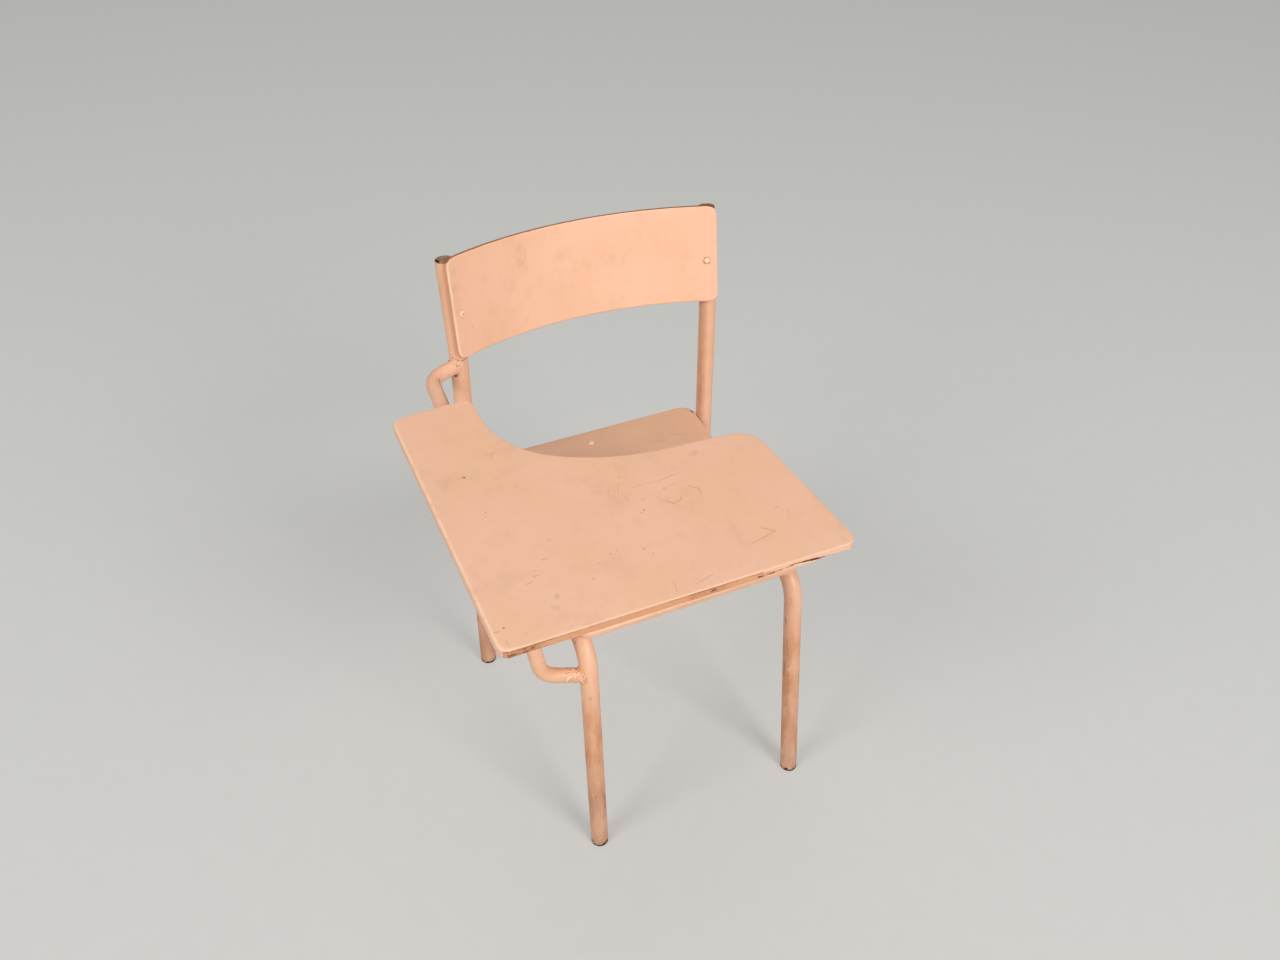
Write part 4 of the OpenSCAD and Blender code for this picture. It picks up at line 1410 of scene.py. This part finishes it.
def bead_tree():
    inputs = [("Bead radius", "Float"), ("Ripple", "Float"), ("Seed", "Float"), ("Finish", "Material")]
    tree, wires = geometry_tree("weld_bead", inputs)
    curve = tree.make("GeometryNodeMeshToCurve", None, {"Mesh": wires["Geometry"]})
    values = {"Curve": curve, "Length": 0.7 * MM}
    curve = tree.make("GeometryNodeResampleCurve", {"mode": "LENGTH"}, values)
    travelled = tree.make("GeometryNodeSplineParameter", out="Length")
    phase = travelled * math.pi / wires["Ripple"]
    wave = tree.make("ShaderNodeMath", {"operation": "SINE"}, {0: phase})
    values = {"W": wires["Seed"], "Scale": 160.0, "Detail": 2.0}
    wander = tree.make("ShaderNodeTexNoise", {"noise_dimensions": "4D"}, values)
    radius = wires["Bead radius"] * (0.55 + abs(wave) * 0.25 + wander * 0.5)
    ring = tree.make("GeometryNodeCurvePrimitiveCircle", None, {"Resolution": 10, "Radius": 1.0})
    values = {"Curve": curve, "Profile Curve": ring, "Scale": radius}
    bead = tree.make("GeometryNodeCurveToMesh", None, values)
    return close_tree(tree, bead, wires["Finish"])


WELD_BEAD = bead_tree()
points, edges = [], []
for joint in joints:
    curve = joint_curve(*joint)
    first = len(points)
    edges += [(first + i, first + (i + 1) % len(curve)) for i in range(len(curve))]
    points += curve
path_mesh = bpy.data.meshes.new("weld_paths")
path_mesh.from_pydata(points, edges, [])
paths = bpy.data.objects.new("weld_paths", path_mesh)
bpy.context.collection.objects.link(paths)
inputs = {"Bead radius": 2.2 * MM, "Ripple": 2.6 * MM, "Seed": 3.0, "Finish": weld_paint}
welds = grown("weld_beads", paths, WELD_BEAD, inputs)

# %% [markdown]
# ## Lifted flakes of paint
#
# Where the paint has let go, its edge curls away in small stiff flakes. They follow the
# borders of the peeled patches, so Geometry Nodes set one small curled flake after another
# along a border, drop most of them at random, and tip, turn and scale the rest.

# %% A curled flake
FLAKE_LENGTH, FLAKE_WIDTH, FLAKE_T = 2.0, 1.6, 0.22
FLAKE_CURL = math.radians(62)


def curled_flake():
    """A thin shell, about 2 mm by 1.6 mm, that curls up towards one end."""
    mesh = bmesh.new()
    grid = []
    for i in range(5):
        along, bend = i / 4 * FLAKE_LENGTH, FLAKE_CURL * (i / 4) ** 1.4
        x, z = along * math.cos(bend), along * math.sin(bend)
        row = []
        for j in range(4):
            width = (1.0 - 0.25 * (i / 4)) * (j / 3 - 0.5)
            uneven = 0.12 * math.sin(2.3 * i + 1.7 * j)
            row.append(mesh.verts.new(Vector((x, width * FLAKE_WIDTH + uneven, z)) * MM))
        grid.append(row)
    for i in range(4):
        for j in range(3):
            mesh.faces.new((grid[i][j], grid[i + 1][j], grid[i + 1][j + 1], grid[i][j + 1]))
    data = bpy.data.meshes.new("flake_shape")
    mesh.to_mesh(data)
    mesh.free()
    flake = bpy.data.objects.new("flake_shape", data)
    bpy.context.collection.objects.link(flake)
    shell = flake.modifiers.new("thickness", "SOLIDIFY")
    shell.thickness = FLAKE_T * MM
    return flake


def flake_tree():
    inputs = [("Flake", "Object"), ("Spacing", "Float"), ("Keep", "Float"), ("Seed", "Int")]
    inputs += [("Finish", "Material")]
    tree, wires = geometry_tree("paint_flakes", inputs)
    curve = tree.make("GeometryNodeMeshToCurve", None, {"Mesh": wires["Geometry"]})
    values = {"Curve": curve, "Length": wires["Spacing"]}
    points = tree.make("GeometryNodeCurveToPoints", {"mode": "LENGTH"}, values)
    values = {"Probability": wires["Keep"], "Seed": wires["Seed"]}
    kept = tree.make("FunctionNodeRandomValue", {"data_type": "BOOLEAN"}, values, out=3)
    low_turn, high_turn = (-0.5, -0.4, 0), (0.5, 0.6, math.tau)
    chosen = {"Points": points, "Selection": kept}
    flakes = set_on_points(tree, wires, wires["Flake"], low_turn, high_turn, (0.4, 1.1), chosen)
    return close_tree(tree, flakes, wires["Finish"])


# %% Borders that flake
FLAKES = flake_tree()
FRONT_SLANT = math.tan(math.radians(0.7))
TABLET_FRONT = 172
FLAKE_INSET = 1.5
BORDER_STEPS = 12


def front_edge_point(x, h):
    """A point just behind the tablet's front edge, x mm from its outer edge, h mm up its wall."""
    y = FRONT - (TABLET_FRONT + x * FRONT_SLANT - FLAKE_INSET) * MM
    return Vector((tablet_low.x + x * MM, y, tablet_low.z + h * MM))


points, edges = [], []
for start, end, low, low_end, high, high_end, depth, kind in PATCHES:
    first = len(points)
    for share in np.linspace(0, 1, BORDER_STEPS):
        x, h = start + (end - start) * share, high + (high_end - high) * share
        points.append(front_edge_point(x, h))
    edges += [(i, i + 1) for i in range(first, len(points) - 1)]
borders = facing_mesh("flake_borders", points, edges, [(0, -1, 0.15)] * len(points))
flake_shape = curled_flake()
inputs = {"Flake": flake_shape, "Spacing": 3.2 * MM, "Keep": 0.22, "Seed": 11}
inputs["Finish"] = tablet_paint
flakes = grown("tablet_flakes", borders, FLAKES, inputs)
bpy.data.objects.remove(flake_shape)

# %% [markdown]
# ## Finishes on the CAD pieces, and what rides on what
#
# The tubes keep their CAD shapes and take the steel paint. Every new piece rides on the one body of
# the chair and hides the CAD nodes that it stands for.

# %% Steel work
STEEL = [
    "front_leg_right", "front_leg_left", "rear_leg_right", "rear_leg_left",
    "rear_cross_bar", "front_cross_bar", "tablet_support_tube",
]
for name in STEEL:
    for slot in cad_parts[name].material_slots:
        slot.material = frame_paint

# %% New pieces


def settle(piece, material, slot, *nodes):
    """Gives a piece its finish, lets it ride on the chair, and hides the CAD nodes that it stands for.
    """
    if material:
        piece.data.materials.clear()
        piece.data.materials.append(material)
    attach(piece, "root")
    if nodes:
        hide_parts(*nodes)


settle(tablet, tablet_paint, "tablet_paint", "writing_tablet")
settle(seat, seat_paint, "seat_paint", "seat_panel")
settle(backrest, backrest_paint, "backrest_paint", "backrest_panel")
for node, cap in caps.items():
    settle(cap, cap_finishes[node], "cap_plastic", node)
for node, glide in glides.items():
    settle(glide, glide_rubber, "glide_rubber", node)
RIVETS = [
    "seat_rivet_rear", "seat_rivet_right", "seat_rivet_left",
    "backrest_rivet_right", "backrest_rivet_left",
]
SCREWS = ["tablet_screw_front", "tablet_screw_middle", "tablet_screw_rear"]
settle(rivet_heads, None, "rivet_paint", *RIVETS)
settle(rivet_tails, None, "rivet_paint")
settle(screws, None, "screw_steel", *SCREWS)
settle(welds, None, "frame_paint")
settle(flakes, None, "tablet_paint")
